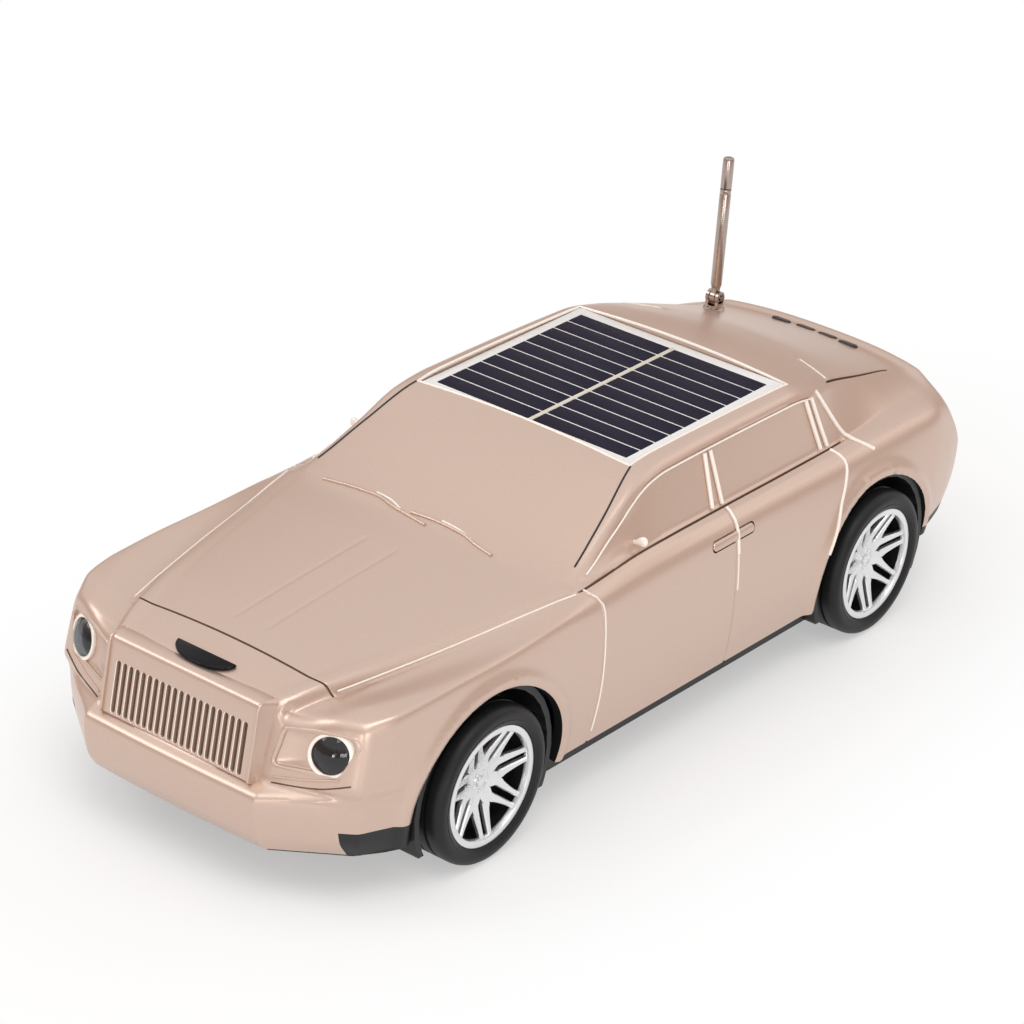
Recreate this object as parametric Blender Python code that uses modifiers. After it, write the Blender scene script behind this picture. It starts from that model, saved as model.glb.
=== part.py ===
"""Car-shaped solar radio speaker, one named object for each piece.

Sizes are in millimetres and become metres where a mesh is made. +Z is up, the bonnet points along -Y, the
ground is z = 0 and the car's left side is +X.
"""
import math

import bmesh
import bpy
from mathutils import Matrix, Vector

MM = 0.001

# Driving sizes
WALL = 2.0
FIT = 0.3
SNUG = 0.15
WHEELBASE = 134.4
TYRE_RADIUS = 16.8
TYRE_WIDTH = 12.4
RIM_RADIUS = 12.9
AXLE_RADIUS = 1.5
ARCH_RADIUS = 21.3
ROUND_STEPS = 28
RIM_STEPS = 21
ARCH_STEPS = 32

# Heights and half widths of the body
SILL_Z = 12.0
ROOF_Z = 61.4
ROOF_HALF = 31.3
BELT_HALF = 36.4
WAIST_HALF = 43.0
SHOULDER_HALF = WAIST_HALF - 1.6
SILL_HALF = WAIST_HALF - 1.0
RIM_FACE = WAIST_HALF + 1.5
CORNER_X = SILL_HALF - 20.0
TAIL_HALF = WAIST_HALF - 5.0

# Places along the car
NOSE_Y = -106.0
COWL_Y = -40.0
HEADER_Y = -6.0
ROOF_END_Y = 56.0
BOOT_Y = 70.0
REAR_FACE_Y = 111.6
TAIL_Y = REAR_FACE_Y - 2.2
FRONT_BLEND = 22.0
REAR_BLEND = 17.4
FRONT_BLEND_Y = NOSE_Y + FRONT_BLEND
REAR_BLEND_Y = TAIL_Y - REAR_BLEND

# Floor
FLOOR_Z = 8.0
FLOOR = 2.0
TRAY_TOP = 17.0
TRAY_WALL = 1.6
WELL_WALL = 1.4
WELL_INNER_X = RIM_FACE - 16.5

# Solar panel
PANEL = 55.0
PANEL_Y = 20.8
PANEL_Z = 60.75
PANEL_TILT = math.radians(0.85)
BOARD_THICK = 1.6
CELL_THICK = 0.25
COVER_THICK = 0.35
CELL_AREA = (49.2, 47.4)
CELL_ROWS = 10
CELL_GAP = 0.5
BUS_HALF = 0.9

# Grille, badge and lamps
GRILLE_PLACE = (0.0, -108.0, 31.9)
GRILLE_TILT = math.radians(-8.6)
GRILLE_SIZE = (43.0, 15.6)
GRILLE_BAR = 1.7
GRILLE_PROUD = 1.6
GRILLE_DEPTH = 4.2
SLOT_COUNT = 21
SLOT_PITCH = 1.64
SLOT_WIDTH = 0.95
SLOT_HEIGHT = 11.4
SLOT_DEPTH = 1.4
BADGE = (15.0, 3.9, 0.7)
BADGE_PLACE = (0.0, -103.0, 41.25)
BADGE_SLOPE = math.radians(12.0)
LAMP_PLACE = (31.4, -101.9, 32.4)
LAMP_RADIUS = 4.3
LED_RADIUS = 1.5
CHIN_TOP = 16.8
CHIN_FRONT_Y = -103.0
CHIN_INNER_X = SILL_HALF - 7.4

# Aerial
AERIAL_X = -19.8
AERIAL_Y = 89.7
PIVOT_Z = 53.4
STEM_RADIUS = 1.9
STEM_BELOW_SKIN = 5.8
EAR_RADIUS = 1.75
EAR_SLOT = 1.6
PIN_RADIUS = 0.6
TUBE_RADIUS = 1.3
TUBE_TOP = 79.9
TUBE_WALL = 0.25
SLIDE_GAP = 0.1
CAP_LENGTH = 7.1
NUT_RADIUS = 4.0
NUT_THICK = 1.9

# Tail buttons
DECK_PLACE = (0.0, 103.3, 47.1)
DECK_SLOPE = math.radians(-17.5)
BUTTON_SIZE = (4.1, 2.0)
BUTTON_XY = ((-9.25, -0.9), (-3.06, 0.0), (3.06, 0.0), (9.25, -0.9))
BUTTON_PROUD = 0.4
BUTTON_TRAVEL = 0.8
BUTTON_FLANGE = 0.6
FLANGE_CLEAR = 0.9
DECK_POST_X = 16.0

# Works inside
SPEAKER_Y = 4.0
SPEAKER_RADIUS = 20.8
SPEAKER_FLANGE = 3.0
BASKET_DEPTH = 11.0
BASKET_BACK = 10.0
BASKET_SHEET = 1.2
MAGNET_DEPTH = 5.85
MAGNET_RADIUS = 10.5
GASKET_THICK = 0.85
VOICE_RADIUS = 4.5
SOUND_SLOT = (26.0, 2.0)
SOUND_PITCH = 4.0
SOUND_COUNT = 7
CELL_RADIUS = 9.2
HOLDER_DEPTH = 6.0
HOLDER_INSET = 6.0
CELL_LENGTH = 65.0
CELL_Y = -34.0
MAIN_BOARD = (48.0, 72.0, 1.6)
MAIN_BOARD_Y = REAR_FACE_Y - 41.6
MAIN_BOARD_Z = 22.0
BOARD_POST = (20.0, 27.0)
SOCKET_SIZE = (9.0, 9.2, 3.2)
SOCKET_X = -9.0
SWITCH_SIZE = (8.6, 7.0, 3.6)
SWITCH_X = 9.0
SLIDER_SIZE = (2.4, 3.3, 2.0)
SLIDER_TRAVEL = 2.0
SCREW_XY = ((18.0, -96.5), (-18.0, -96.5), (28.0, 95.0), (-28.0, 95.0))
SCREW_RADIUS = 1.1
SCREW_HEAD = 2.6
BOSS_RADIUS = 3.2

AXLE_Z = TYRE_RADIUS * math.cos(math.pi / ROUND_STEPS)
FLOOR_TOP = FLOOR_Z + FLOOR
WELL_RADIUS = ARCH_RADIUS - FIT


def clear_scene():
    for obj in list(bpy.data.objects):
        bpy.data.objects.remove(obj, do_unlink=True)


def new_collection(name):
    group = bpy.data.collections.new(name)
    bpy.context.scene.collection.children.link(group)
    return group


clear_scene()
PARTS = new_collection("Solar car speaker")
CUTTERS = new_collection("Cutters")


def material(name, hex_colour, roughness, metallic=0.0):
    mat = bpy.data.materials.new(name)
    mat.use_nodes = True
    shader = mat.node_tree.nodes["Principled BSDF"]
    channels = [int(hex_colour[i:i + 2], 16) / 255 for i in (1, 3, 5)]
    linear = [c / 12.92 if c <= 0.04045 else ((c + 0.055) / 1.055) ** 2.4 for c in channels]
    shader.inputs["Base Color"].default_value = (*linear, 1.0)
    shader.inputs["Roughness"].default_value = roughness
    shader.inputs["Metallic"].default_value = metallic
    return mat


PAINT = material("rose_gold_paint", "#DDBFAE", 0.32, 0.55)
BLACK = material("black_abs", "#17171A", 0.45)
GLOSS_BLACK = material("gloss_black_plate", "#0C0C0E", 0.12)
RUBBER = material("tyre_rubber", "#1A1A1B", 0.7)
CHROME = material("plated_rim", "#D6D7DA", 0.18, 1.0)
STEEL = material("bright_steel", "#C9CACC", 0.22, 1.0)
BRASS = material("brass", "#B08D4C", 0.3, 1.0)
WHITE_BOARD = material("white_board", "#E9E9E6", 0.5)
SILICON = material("solar_cell", "#2B2A45", 0.25)
RESIN = material("clear_resin", "#E8ECEF", 0.05)
LENS = material("lamp_lens", "#DDE4E8", 0.05)
LED = material("led_epoxy", "#F4F2E4", 0.3)
GREEN_BOARD = material("green_board", "#1F5B3A", 0.45)
SLEEVE = material("battery_sleeve", "#3A62A8", 0.4)
PAPER = material("speaker_paper", "#2A2724", 0.9)
FERRITE = material("ferrite", "#3B3B3D", 0.6)
BUTTON_RUBBER = material("button_rubber", "#2B2624", 0.55)
FOAM = material("foam_gasket", "#242424", 0.95)


def add(name, mesh, mat, group=PARTS, smooth=False):
    obj = bpy.data.objects.new(name, mesh)
    mesh.materials.append(mat)
    for face in mesh.polygons:
        face.use_smooth = smooth
    group.objects.link(obj)
    return obj


def mesh_of(bm, name):
    mesh = bpy.data.meshes.new(name)
    bmesh.ops.scale(bm, vec=(MM, MM, MM), verts=bm.verts)
    bm.to_mesh(mesh)
    bm.free()
    return mesh


def place(obj, location, rotation=(0.0, 0.0, 0.0), parent=None):
    obj.location = Vector(location) * MM
    obj.rotation_euler = rotation
    obj.parent = parent
    return obj


def empty(name, location, rotation=(0.0, 0.0, 0.0), parent=None):
    obj = bpy.data.objects.new(name, None)
    PARTS.objects.link(obj)
    return place(obj, location, rotation, parent)


def box(name, size, centre, mat=BLACK, group=PARTS):
    bm = bmesh.new()
    bmesh.ops.create_cube(bm, size=1.0)
    bmesh.ops.scale(bm, vec=size, verts=bm.verts)
    bmesh.ops.translate(bm, vec=centre, verts=bm.verts)
    return add(name, mesh_of(bm, name), mat, group)


def rod(name, radius, span, axis="Z", at=(0.0, 0.0), mat=BLACK, group=PARTS, sides=20):
    """A cylinder along one axis from span[0] to span[1], at the other two coordinates in order."""
    bm = bmesh.new()
    length = span[1] - span[0]
    bmesh.ops.create_cone(bm, cap_ends=True, segments=sides, radius1=radius, radius2=radius, depth=length)
    middle = (span[0] + span[1]) / 2
    turn = {"X": Matrix.Rotation(math.pi / 2, 4, "Y"), "Y": Matrix.Rotation(-math.pi / 2, 4, "X"),
            "Z": Matrix.Identity(4)}[axis]
    centre = {"X": (middle, *at), "Y": (at[0], middle, at[1]), "Z": (*at, middle)}[axis]
    bmesh.ops.transform(bm, matrix=Matrix.Translation(centre) @ turn, verts=bm.verts)
    return add(name, mesh_of(bm, name), mat, group, smooth=True)


def turned(name, profile, mat, closed, steps=ROUND_STEPS, group=PARTS):
    """A profile of (radius, height) points spun round Z with a Screw modifier."""
    bm = bmesh.new()
    points = [bm.verts.new((radius, 0.0, height)) for radius, height in profile]
    for first, second in zip(points, points[1:]):
        bm.edges.new((first, second))
    if closed:
        bm.edges.new((points[-1], points[0]))
    obj = add(name, mesh_of(bm, name), mat, group)
    screw = obj.modifiers.new("Screw", "SCREW")
    screw.steps = steps
    screw.render_steps = steps
    screw.use_merge_vertices = True
    screw.merge_threshold = 0.00001
    screw.use_smooth_shade = True
    return obj


def slab(name, outline, span, mat=BLACK, group=PARTS):
    """A flat outline in XY pulled up from span[0] to span[1]."""
    bm = bmesh.new()
    face = bm.faces.new([bm.verts.new((x, y, span[0])) for x, y in outline])
    if face.normal.z > 0:
        face.normal_flip()
    bm.normal_update()
    grown = bmesh.ops.extrude_face_region(bm, geom=[face])
    rise = [v for v in grown["geom"] if isinstance(v, bmesh.types.BMVert)]
    bmesh.ops.translate(bm, vec=(0.0, 0.0, span[1] - span[0]), verts=rise)
    bmesh.ops.recalc_face_normals(bm, faces=bm.faces)
    return add(name, mesh_of(bm, name), mat, group)


def hide(obj):
    for group in list(obj.users_collection):
        group.objects.unlink(obj)
    CUTTERS.objects.link(obj)
    obj.hide_render = True
    obj.display_type = "WIRE"


def combine(target, other, operation):
    step = target.modifiers.new(operation.title(), "BOOLEAN")
    step.operation = operation
    step.solver = "EXACT"
    step.object = other
    hide(other)


def cut(target, *others):
    for other in others:
        combine(target, other, "DIFFERENCE")


def fuse(target, *others):
    for other in others:
        combine(target, other, "UNION")


def spline(knots, t):
    """A smooth curve through (t, value) knots that keeps between its neighbours."""
    if t <= knots[0][0]:
        return knots[0][1]
    if t >= knots[-1][0]:
        return knots[-1][1]
    slopes = [(b[1] - a[1]) / (b[0] - a[0]) for a, b in zip(knots, knots[1:])]
    ends = [slopes[0]]
    for a, b in zip(slopes, slopes[1:]):
        ends.append(2 * a * b / (a + b) if a * b > 0 else 0.0)
    ends.append(slopes[-1])
    index = max(i for i in range(len(slopes)) if knots[i][0] <= t)
    (t0, v0), (t1, v1) = knots[index], knots[index + 1]
    step = t1 - t0
    u = (t - t0) / step
    rest = 1 - u
    return (v0 * (1 + 2 * u) * rest * rest + v1 * u * u * (3 - 2 * u)
            + step * u * rest * (ends[index] * rest - ends[index + 1] * u))


# Character lines of the body: place along the car, half width, height
CENTRE_LINE = [
    (NOSE_Y, 0.0, 40.6), (-95.0, 0.0, 43.0), (-70.0, 0.0, 45.6), (-50.0, 0.0, 47.2), (COWL_Y, 0.0, 48.0),
    (COWL_Y + 3.0, 0.0, 49.0), (HEADER_Y - 3.0, 0.0, ROOF_Z - 1.0), (HEADER_Y + 1.0, 0.0, ROOF_Z - 0.3),
    (20.0, 0.0, ROOF_Z), (48.0, 0.0, ROOF_Z + 0.1), (ROOF_END_Y, 0.0, ROOF_Z - 0.5),
    (BOOT_Y, 0.0, 57.9), (85.0, 0.0, 53.0), (97.0, 0.0, 49.0), (103.5, 0.0, 47.1), (TAIL_Y, 0.0, 44.5)]
UPPER_LINE = [
    (NOSE_Y, 17.5, 40.3), (-95.0, 21.0, 42.3), (-70.0, 26.5, 44.3), (-50.0, 30.5, 45.5), (-38.0, 33.2, 46.1),
    (-33.5, 34.3, 46.9), (-20.0, ROOF_HALF + 1.7, 53.0), (HEADER_Y, ROOF_HALF + 0.3, ROOF_Z - 1.8),
    (HEADER_Y + 6.0, ROOF_HALF, ROOF_Z - 1.1), (20.0, ROOF_HALF - 0.1, ROOF_Z - 0.9),
    (45.0, ROOF_HALF - 0.3, ROOF_Z - 1.1), (ROOF_END_Y, ROOF_HALF - 1.1, ROOF_Z - 2.8),
    (64.3, 28.6, 56.6), (80.0, 26.5, 52.3), (97.0, 24.2, 47.7), (TAIL_Y, 23.0, 43.4)]
BELT_LINE = [
    (NOSE_Y, 20.8, 39.9), (-96.9, 24.0, 41.7), (-71.8, 30.2, 43.1), (-51.0, 34.4, 44.1), (-40.3, 36.7, 44.7),
    (-33.0, BELT_HALF + 1.6, 45.0), (-13.0, BELT_HALF + 1.1, 46.2), (15.5, BELT_HALF, 45.6),
    (40.0, BELT_HALF - 0.6, 45.2), (60.0, BELT_HALF - 1.2, 45.0), (80.0, 33.4, 45.3), (97.0, 31.0, 44.3),
    (TAIL_Y, 29.0, 41.2)]
CREST_LINE = [
    (NOSE_Y, SHOULDER_HALF - 3.8, 39.4), (-97.0, SHOULDER_HALF - 1.0, 40.9), (-85.0, SHOULDER_HALF - 0.1, 41.6),
    (-67.0, SHOULDER_HALF + 0.2, 42.3), (-33.0, SHOULDER_HALF, 43.3), (15.0, SHOULDER_HALF - 0.9, 44.1),
    (58.0, SHOULDER_HALF - 1.8, 44.1), (80.0, SHOULDER_HALF - 2.2, 43.9), (97.0, SHOULDER_HALF - 3.4, 43.0),
    (TAIL_Y, SHOULDER_HALF - 6.2, 40.6)]
WAIST_LINE = [
    (NOSE_Y, WAIST_HALF - 4.4, 28.0), (-95.0, WAIST_HALF - 1.4, 29.0), (-67.0, WAIST_HALF + 0.3, 29.5),
    (-33.0, WAIST_HALF, 29.5), (15.0, WAIST_HALF - 0.2, 30.0), (67.0, WAIST_HALF + 0.2, 30.0),
    (90.0, WAIST_HALF - 0.8, 30.0), (102.0, WAIST_HALF - 2.4, 29.0), (TAIL_Y, WAIST_HALF - 4.4, 28.0)]
SILL_LINE = [
    (NOSE_Y, SILL_HALF - 5.4, SILL_Z + 0.5), (-95.0, SILL_HALF - 1.8, SILL_Z + 0.5), (-67.0, SILL_HALF, SILL_Z),
    (67.0, SILL_HALF, SILL_Z), (90.0, SILL_HALF - 0.8, SILL_Z), (102.0, SILL_HALF - 2.6, SILL_Z),
    (TAIL_Y, SILL_HALF - 5.2, SILL_Z)]
TOP_LINES = ((CENTRE_LINE, 0), (UPPER_LINE, 4), (BELT_LINE, 2), (CREST_LINE, 2))
SIDE_STEPS = 5
STATIONS = sorted((NOSE_Y, -101.0, -95.0, FRONT_BLEND_Y, -75.0, -65.0, -55.0, -46.0, COWL_Y, -36.0, -33.0, -27.0, -20.0,
            -13.0, HEADER_Y - 2.0, HEADER_Y, -1.0, 10.0, 22.0, 34.0, 46.0, 52.0, ROOF_END_Y, 64.3, BOOT_Y, 77.0,
            85.0, REAR_BLEND_Y, 98.0, 104.0, TAIL_Y))

# Upright shape of the front and rear faces: height, place along the car
FRONT_PROFILE = [(SILL_Z, -107.6), (14.5, -110.8), (21.5, -112.0), (24.0, -110.6), (26.0, -108.8), (41.0, -105.4)]
REAR_PROFILE = [(SILL_Z, REAR_FACE_Y - 5.0), (16.0, REAR_FACE_Y - 1.6), (24.0, REAR_FACE_Y), (32.0, REAR_FACE_Y),
                (40.0, REAR_FACE_Y - 1.2), (45.0, REAR_FACE_Y - 2.4)]


def point_on(line, along):
    return (spline([(k[0], k[1]) for k in line], along), spline([(k[0], k[2]) for k in line], along))


def front_y(x, z):
    inner = min(x / CORNER_X, 1.0) ** 2
    outer = max(x - CORNER_X, 0.0)
    low = 0.6 * inner + 0.75 * outer
    high = 1.6 * inner + 0.36 * outer
    share = min(max((z - 23.0) / 3.0, 0.0), 1.0)
    return spline(FRONT_PROFILE, z) + low + (high - low) * share


def rear_y(x, z):
    rounding = 4.6 + 4.6 * min(max((z - 29.0) / 11.0, 0.0), 1.0)
    return spline(REAR_PROFILE, z) - rounding * (x / TAIL_HALF) ** 3


def across(along):
    """Half section at one place: (x, z) points from the centre out to the crest, then down to the sill."""
    marks = [point_on(line, along) for line, count in TOP_LINES]
    top = [(0.0, marks[0][1])]
    steps = TOP_LINES[1][1]
    for i in range(1, steps + 1):
        u = i / steps
        top.append((marks[1][0] * u, marks[1][1] + (marks[0][1] - marks[1][1]) * (1 - u * u)))
    for (line, steps), a, b in zip(TOP_LINES[2:], marks[1:], marks[2:]):
        for i in range(1, steps + 1):
            u = i / steps
            top.append((a[0] + (b[0] - a[0]) * u, a[1] + (b[1] - a[1]) * u))
    crest, waist, sill = marks[3], point_on(WAIST_LINE, along), point_on(SILL_LINE, along)
    side = []
    for i in range(SIDE_STEPS + 1):
        z = crest[1] + (sill[1] - crest[1]) * i / SIDE_STEPS
        side.append((side_x(z, crest, waist, sill), z))
    return top, side


def side_x(z, crest, waist, sill):
    """Half width of the side at height z, on the parabola through the crest, waist and sill points."""
    (x0, z0), (x1, z1), (x2, z2) = crest, waist, sill
    return (x0 * (z - z1) * (z - z2) / ((z0 - z1) * (z0 - z2)) + x1 * (z - z0) * (z - z2) / ((z1 - z0) * (z1 - z2))
            + x2 * (z - z0) * (z - z1) / ((z2 - z0) * (z2 - z1)))


def along_y(station, x, z):
    """The section near each end is drawn out to meet the curved front and rear faces."""
    if station < FRONT_BLEND_Y:
        share = (station - FRONT_BLEND_Y) / (NOSE_Y - FRONT_BLEND_Y)
        return FRONT_BLEND_Y + (front_y(x, z) - FRONT_BLEND_Y) * share
    if station > REAR_BLEND_Y:
        share = (station - REAR_BLEND_Y) / (TAIL_Y - REAR_BLEND_Y)
        return REAR_BLEND_Y + (rear_y(x, z) - REAR_BLEND_Y) * share
    return station


def patch(bm, rows):
    grid = [[bm.verts.new(point) for point in row] for row in rows]
    for row, following in zip(grid, grid[1:]):
        for i in range(len(row) - 1):
            bm.faces.new((row[i], row[i + 1], following[i + 1], following[i]))


def end_face(top, side, face_y):
    rows = []
    for j, (side_x_j, side_z) in enumerate(side):
        row = []
        for x, z in top:
            x_here = x / top[-1][0] * side_x_j
            z_here = side_z + (z - side[0][1]) * (1 - j / (len(side) - 1))
            row.append((x_here, face_y(x_here, z_here), z_here))
        rows.append(row)
    return rows


def body_skin(name):
    """Left half of the outer skin as four grids on one box, then mirrored and given its wall."""
    bm = bmesh.new()
    sections = [across(station) for station in STATIONS]
    for part in (0, 1):
        patch(bm, [[(x, along_y(station, x, z), z) for x, z in section[part]]
                   for station, section in zip(STATIONS, sections)])
    patch(bm, end_face(*sections[0], front_y))
    patch(bm, end_face(*sections[-1], rear_y))
    bmesh.ops.remove_doubles(bm, verts=bm.verts, dist=0.01)
    bmesh.ops.recalc_face_normals(bm, faces=bm.faces)
    middle = max(bm.faces, key=lambda f: f.calc_center_median().z)
    if middle.normal.z < 0:
        bmesh.ops.reverse_faces(bm, faces=bm.faces)
    skin = add(name, mesh_of(bm, name), PAINT, smooth=True)
    mirror = skin.modifiers.new("Mirror", "MIRROR")
    mirror.use_clip = True
    mirror.merge_threshold = 0.00005
    wall = skin.modifiers.new("Wall", "SOLIDIFY")
    wall.thickness = WALL * MM
    wall.offset = -1.0
    wall.use_even_offset = True
    return skin


def skin_z(x, along):
    """Height of the outer skin above a place in plan."""
    top, side = across(along)
    for (x0, z0), (x1, z1) in zip(top, top[1:]):
        if x0 <= abs(x) <= x1:
            return z0 + (z1 - z0) * (abs(x) - x0) / (x1 - x0)
    return top[-1][1]


def axle_y(end):
    return end * WHEELBASE / 2


# Body shell
shell_blank = body_skin("shell_blank")
hide(shell_blank)
shell = body_skin("body_shell")
panel_frame = empty("panel_frame", (0.0, PANEL_Y, PANEL_Z), (PANEL_TILT, 0.0, 0.0))
recess_side = PANEL + 2 * FIT
recess_floor = -(COVER_THICK + CELL_THICK + BOARD_THICK + 4 * SNUG)
pan = box("roof_pan", (recess_side + 3.2, recess_side + 3.2, 2.6), (0.0, 0.0, recess_floor - 0.3))
recess = box("roof_recess", (recess_side, recess_side, 20.0), (0.0, 0.0, recess_floor + 10.0))
lead_hole = rod("lead_hole", 2.0, (recess_floor - 5.0, recess_floor + 1.0), sides=12)
for piece in (pan, recess, lead_hole):
    piece.parent = panel_frame
fuse(shell, pan)
bosses = [rod("boss", BOSS_RADIUS, (FLOOR_TOP + FLOOR + FIT, skin_z(x, y) - 0.6 * WALL), at=(x, y), sides=14)
          for x, y in SCREW_XY]
fuse(shell, *bosses)
deck_frame = empty("deck_frame", DECK_PLACE, (DECK_SLOPE, 0.0, 0.0))
post_foot = -(WALL + FLANGE_CLEAR + BUTTON_FLANGE + BUTTON_TRAVEL + 1.2)
deck_posts = [rod("deck_post", 2.0, (post_foot, -WALL + 0.8), at=(x, -1.5), sides=12)
              for x in (-DECK_POST_X, DECK_POST_X)]
for post in deck_posts:
    post.parent = deck_frame
fuse(shell, *deck_posts)
cut(shell, recess, lead_hole)
cut(shell, *[rod("arch", ARCH_RADIUS, (-60.0, 60.0), "X", (axle_y(end), AXLE_Z), sides=ARCH_STEPS) for end in (-1, 1)])
cut(shell, *[rod("pilot", SCREW_RADIUS + SNUG, (0.0, 27.0), at=xy, sides=12) for xy in SCREW_XY])
cut(shell, *[rod("lamp_hole", LAMP_RADIUS + FIT, (-120.0, -90.0), "Y", (side * LAMP_PLACE[0], LAMP_PLACE[2]))
             for side in (-1, 1)])

# Black corners of the front bumper, cut out of the same skin
chin_back = axle_y(-1) - math.sqrt(ARCH_RADIUS ** 2 - (CHIN_TOP - AXLE_Z) ** 2) + 1.0
for side, word in ((1, "left"), (-1, "right")):
    size = (20.0, chin_back - CHIN_FRONT_Y, CHIN_TOP)
    centre = (side * (CHIN_INNER_X + 10.0), (chin_back + CHIN_FRONT_Y) / 2, CHIN_TOP / 2)
    chin = box("chin_" + word, size, centre, BLACK)
    grown = box("chin_gap", tuple(s + 2 * SNUG for s in size), centre)
    combine(chin, shell_blank, "INTERSECT")
    cut(chin, rod("chin_arch", ARCH_RADIUS, (-60.0, 60.0), "X", (axle_y(-1), AXLE_Z), sides=ARCH_STEPS))
    cut(shell, grown)

# Grille and badge
grille_frame = empty("grille_frame", GRILLE_PLACE, (GRILLE_TILT, 0.0, 0.0))
grille = box("grille_insert", (GRILLE_SIZE[0], GRILLE_DEPTH, GRILLE_SIZE[1]),
             (0.0, GRILLE_DEPTH / 2 - GRILLE_PROUD, 0.0), PAINT)
hollow_size = (GRILLE_SIZE[0] - 2 * GRILLE_BAR, 10.0, GRILLE_SIZE[1])
grille_hollow = box("grille_hollow", hollow_size, (0.0, -5.0, -GRILLE_BAR))
bm = bmesh.new()
bmesh.ops.create_cube(bm, size=1.0)
bmesh.ops.scale(bm, vec=(SLOT_WIDTH, 2 * SLOT_DEPTH, SLOT_HEIGHT), verts=bm.verts)
first_slot = -SLOT_PITCH * (SLOT_COUNT - 1) / 2
bmesh.ops.translate(bm, vec=(first_slot, 0.0, -0.7), verts=bm.verts)
slots = add("grille_slots", mesh_of(bm, "grille_slots"), BLACK)
repeat = slots.modifiers.new("Slots", "ARRAY")
repeat.count = SLOT_COUNT
repeat.use_relative_offset = False
repeat.use_constant_offset = True
repeat.constant_offset_displace = (SLOT_PITCH * MM, 0.0, 0.0)
grille_window = box("grille_window", (GRILLE_SIZE[0] + 2 * FIT, 3 * GRILLE_DEPTH, GRILLE_SIZE[1] + 2 * FIT),
                    (0.0, -GRILLE_DEPTH / 4, 0.0))
for piece in (grille, grille_hollow, slots, grille_window):
    piece.parent = grille_frame
cut(grille, grille_hollow, slots)
cut(shell, grille_window)
badge_frame = empty("badge_frame", BADGE_PLACE, (BADGE_SLOPE, 0.0, 0.0))
half_moon = [(BADGE[0] / 2, BADGE[1] / 2), (-BADGE[0] / 2, BADGE[1] / 2)]
for i in range(1, 10):
    angle = math.pi + math.pi * i / 10
    half_moon.append((BADGE[0] / 2 * math.cos(angle), BADGE[1] / 2 + BADGE[1] * math.sin(angle)))
badge = slab("badge_plate", half_moon, (SNUG, SNUG + BADGE[2]), GLOSS_BLACK)
badge.parent = badge_frame

# Headlamps
for side, word in ((1, "left"), (-1, "right")):
    lamp = empty("lamp_frame_" + word, (side * LAMP_PLACE[0], *LAMP_PLACE[1:]), (math.pi / 2, 0.0, 0.0))
    rim = LAMP_RADIUS
    reflector = turned("headlamp_reflector_" + word,
                       [(rim, 0.0), (rim, -1.5), (2.7, -7.6), (LED_RADIUS + SNUG, -7.6), (LED_RADIUS + SNUG, -6.4),
                        (rim - 1.0, -2.4), (rim - 0.4, 0.0)], CHROME, True, 20)
    lens = turned("headlamp_lens_" + word,
                  [(0.0, 2.1), (1.5, 1.9), (2.8, 1.3), (3.6, 0.6), (rim - 0.1, 0.4), (rim - 0.1, SNUG), (0.0, SNUG)],
                  LENS, False, 20)
    bulb = turned("headlamp_led_" + word,
                  [(0.0, -3.4), (0.9, -3.7), (LED_RADIUS, -4.6), (LED_RADIUS, -9.0), (0.0, -9.0)], LED, False, 12)
    for piece in (reflector, lens, bulb):
        piece.parent = lamp

# Solar panel
board_top = -(COVER_THICK + CELL_THICK + 2 * SNUG)
board = box("solar_board", (PANEL, PANEL, BOARD_THICK), (0.0, 0.0, board_top - BOARD_THICK / 2), WHITE_BOARD)
cells = box("solar_cells", (*CELL_AREA, CELL_THICK), (0.0, 0.0, board_top + SNUG + CELL_THICK / 2), SILICON)
cover = box("solar_cover", (PANEL, PANEL, COVER_THICK), (0.0, 0.0, -COVER_THICK / 2), RESIN)
row_pitch = (CELL_AREA[1] + CELL_GAP) / CELL_ROWS
bm = bmesh.new()
for side in (-1, 1):
    gap_size = (CELL_AREA[0] / 2, CELL_GAP, 4 * CELL_THICK)
    made = bmesh.ops.create_cube(bm, size=1.0)["verts"]
    bmesh.ops.scale(bm, vec=gap_size, verts=made)
    gap_x = side * (BUS_HALF + gap_size[0] / 2)
    bmesh.ops.translate(bm, vec=(gap_x, row_pitch - (CELL_AREA[1] + CELL_GAP) / 2, board_top + SNUG), verts=made)
gaps = add("cell_gaps", mesh_of(bm, "cell_gaps"), BLACK)
rows = gaps.modifiers.new("Rows", "ARRAY")
rows.count = CELL_ROWS - 1
rows.use_relative_offset = False
rows.use_constant_offset = True
rows.constant_offset_displace = (0.0, row_pitch * MM, 0.0)
cut(cells, gaps)
for piece in (board, cells, cover, gaps):
    piece.parent = panel_frame

# Aerial
STEM_FOOT = skin_z(AERIAL_X, AERIAL_Y) - STEM_BELOW_SKIN
pivot = empty("aerial_pivot", (AERIAL_X, AERIAL_Y, PIVOT_Z))
base = rod("aerial_base", STEM_RADIUS, (STEM_FOOT - PIVOT_Z, -1.3), mat=STEEL, sides=16)
ears = rod("aerial_ears", EAR_RADIUS, (-EAR_RADIUS, EAR_RADIUS), "X", sides=20)
ear_slot = box("ear_slot", (EAR_SLOT, 8.0, 8.0), (0.0, 0.0, 4.0 - EAR_RADIUS - FIT))
ear_hole = rod("ear_hole", PIN_RADIUS + SLIDE_GAP, (-5.0, 5.0), "X", sides=12)
fuse(base, ears)
cut(base, ear_slot, ear_hole)
pin = rod("aerial_pin", PIN_RADIUS, (-EAR_RADIUS - 0.3, EAR_RADIUS + 0.3), "X", mat=STEEL, sides=12)
nut = rod("aerial_nut", NUT_RADIUS, (STEM_FOOT + FIT - PIVOT_Z, STEM_FOOT + FIT + NUT_THICK - PIVOT_Z), mat=BRASS,
          sides=6)
cut(nut, rod("nut_bore", STEM_RADIUS + SNUG, (-20.0, 0.0), sides=16))
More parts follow.
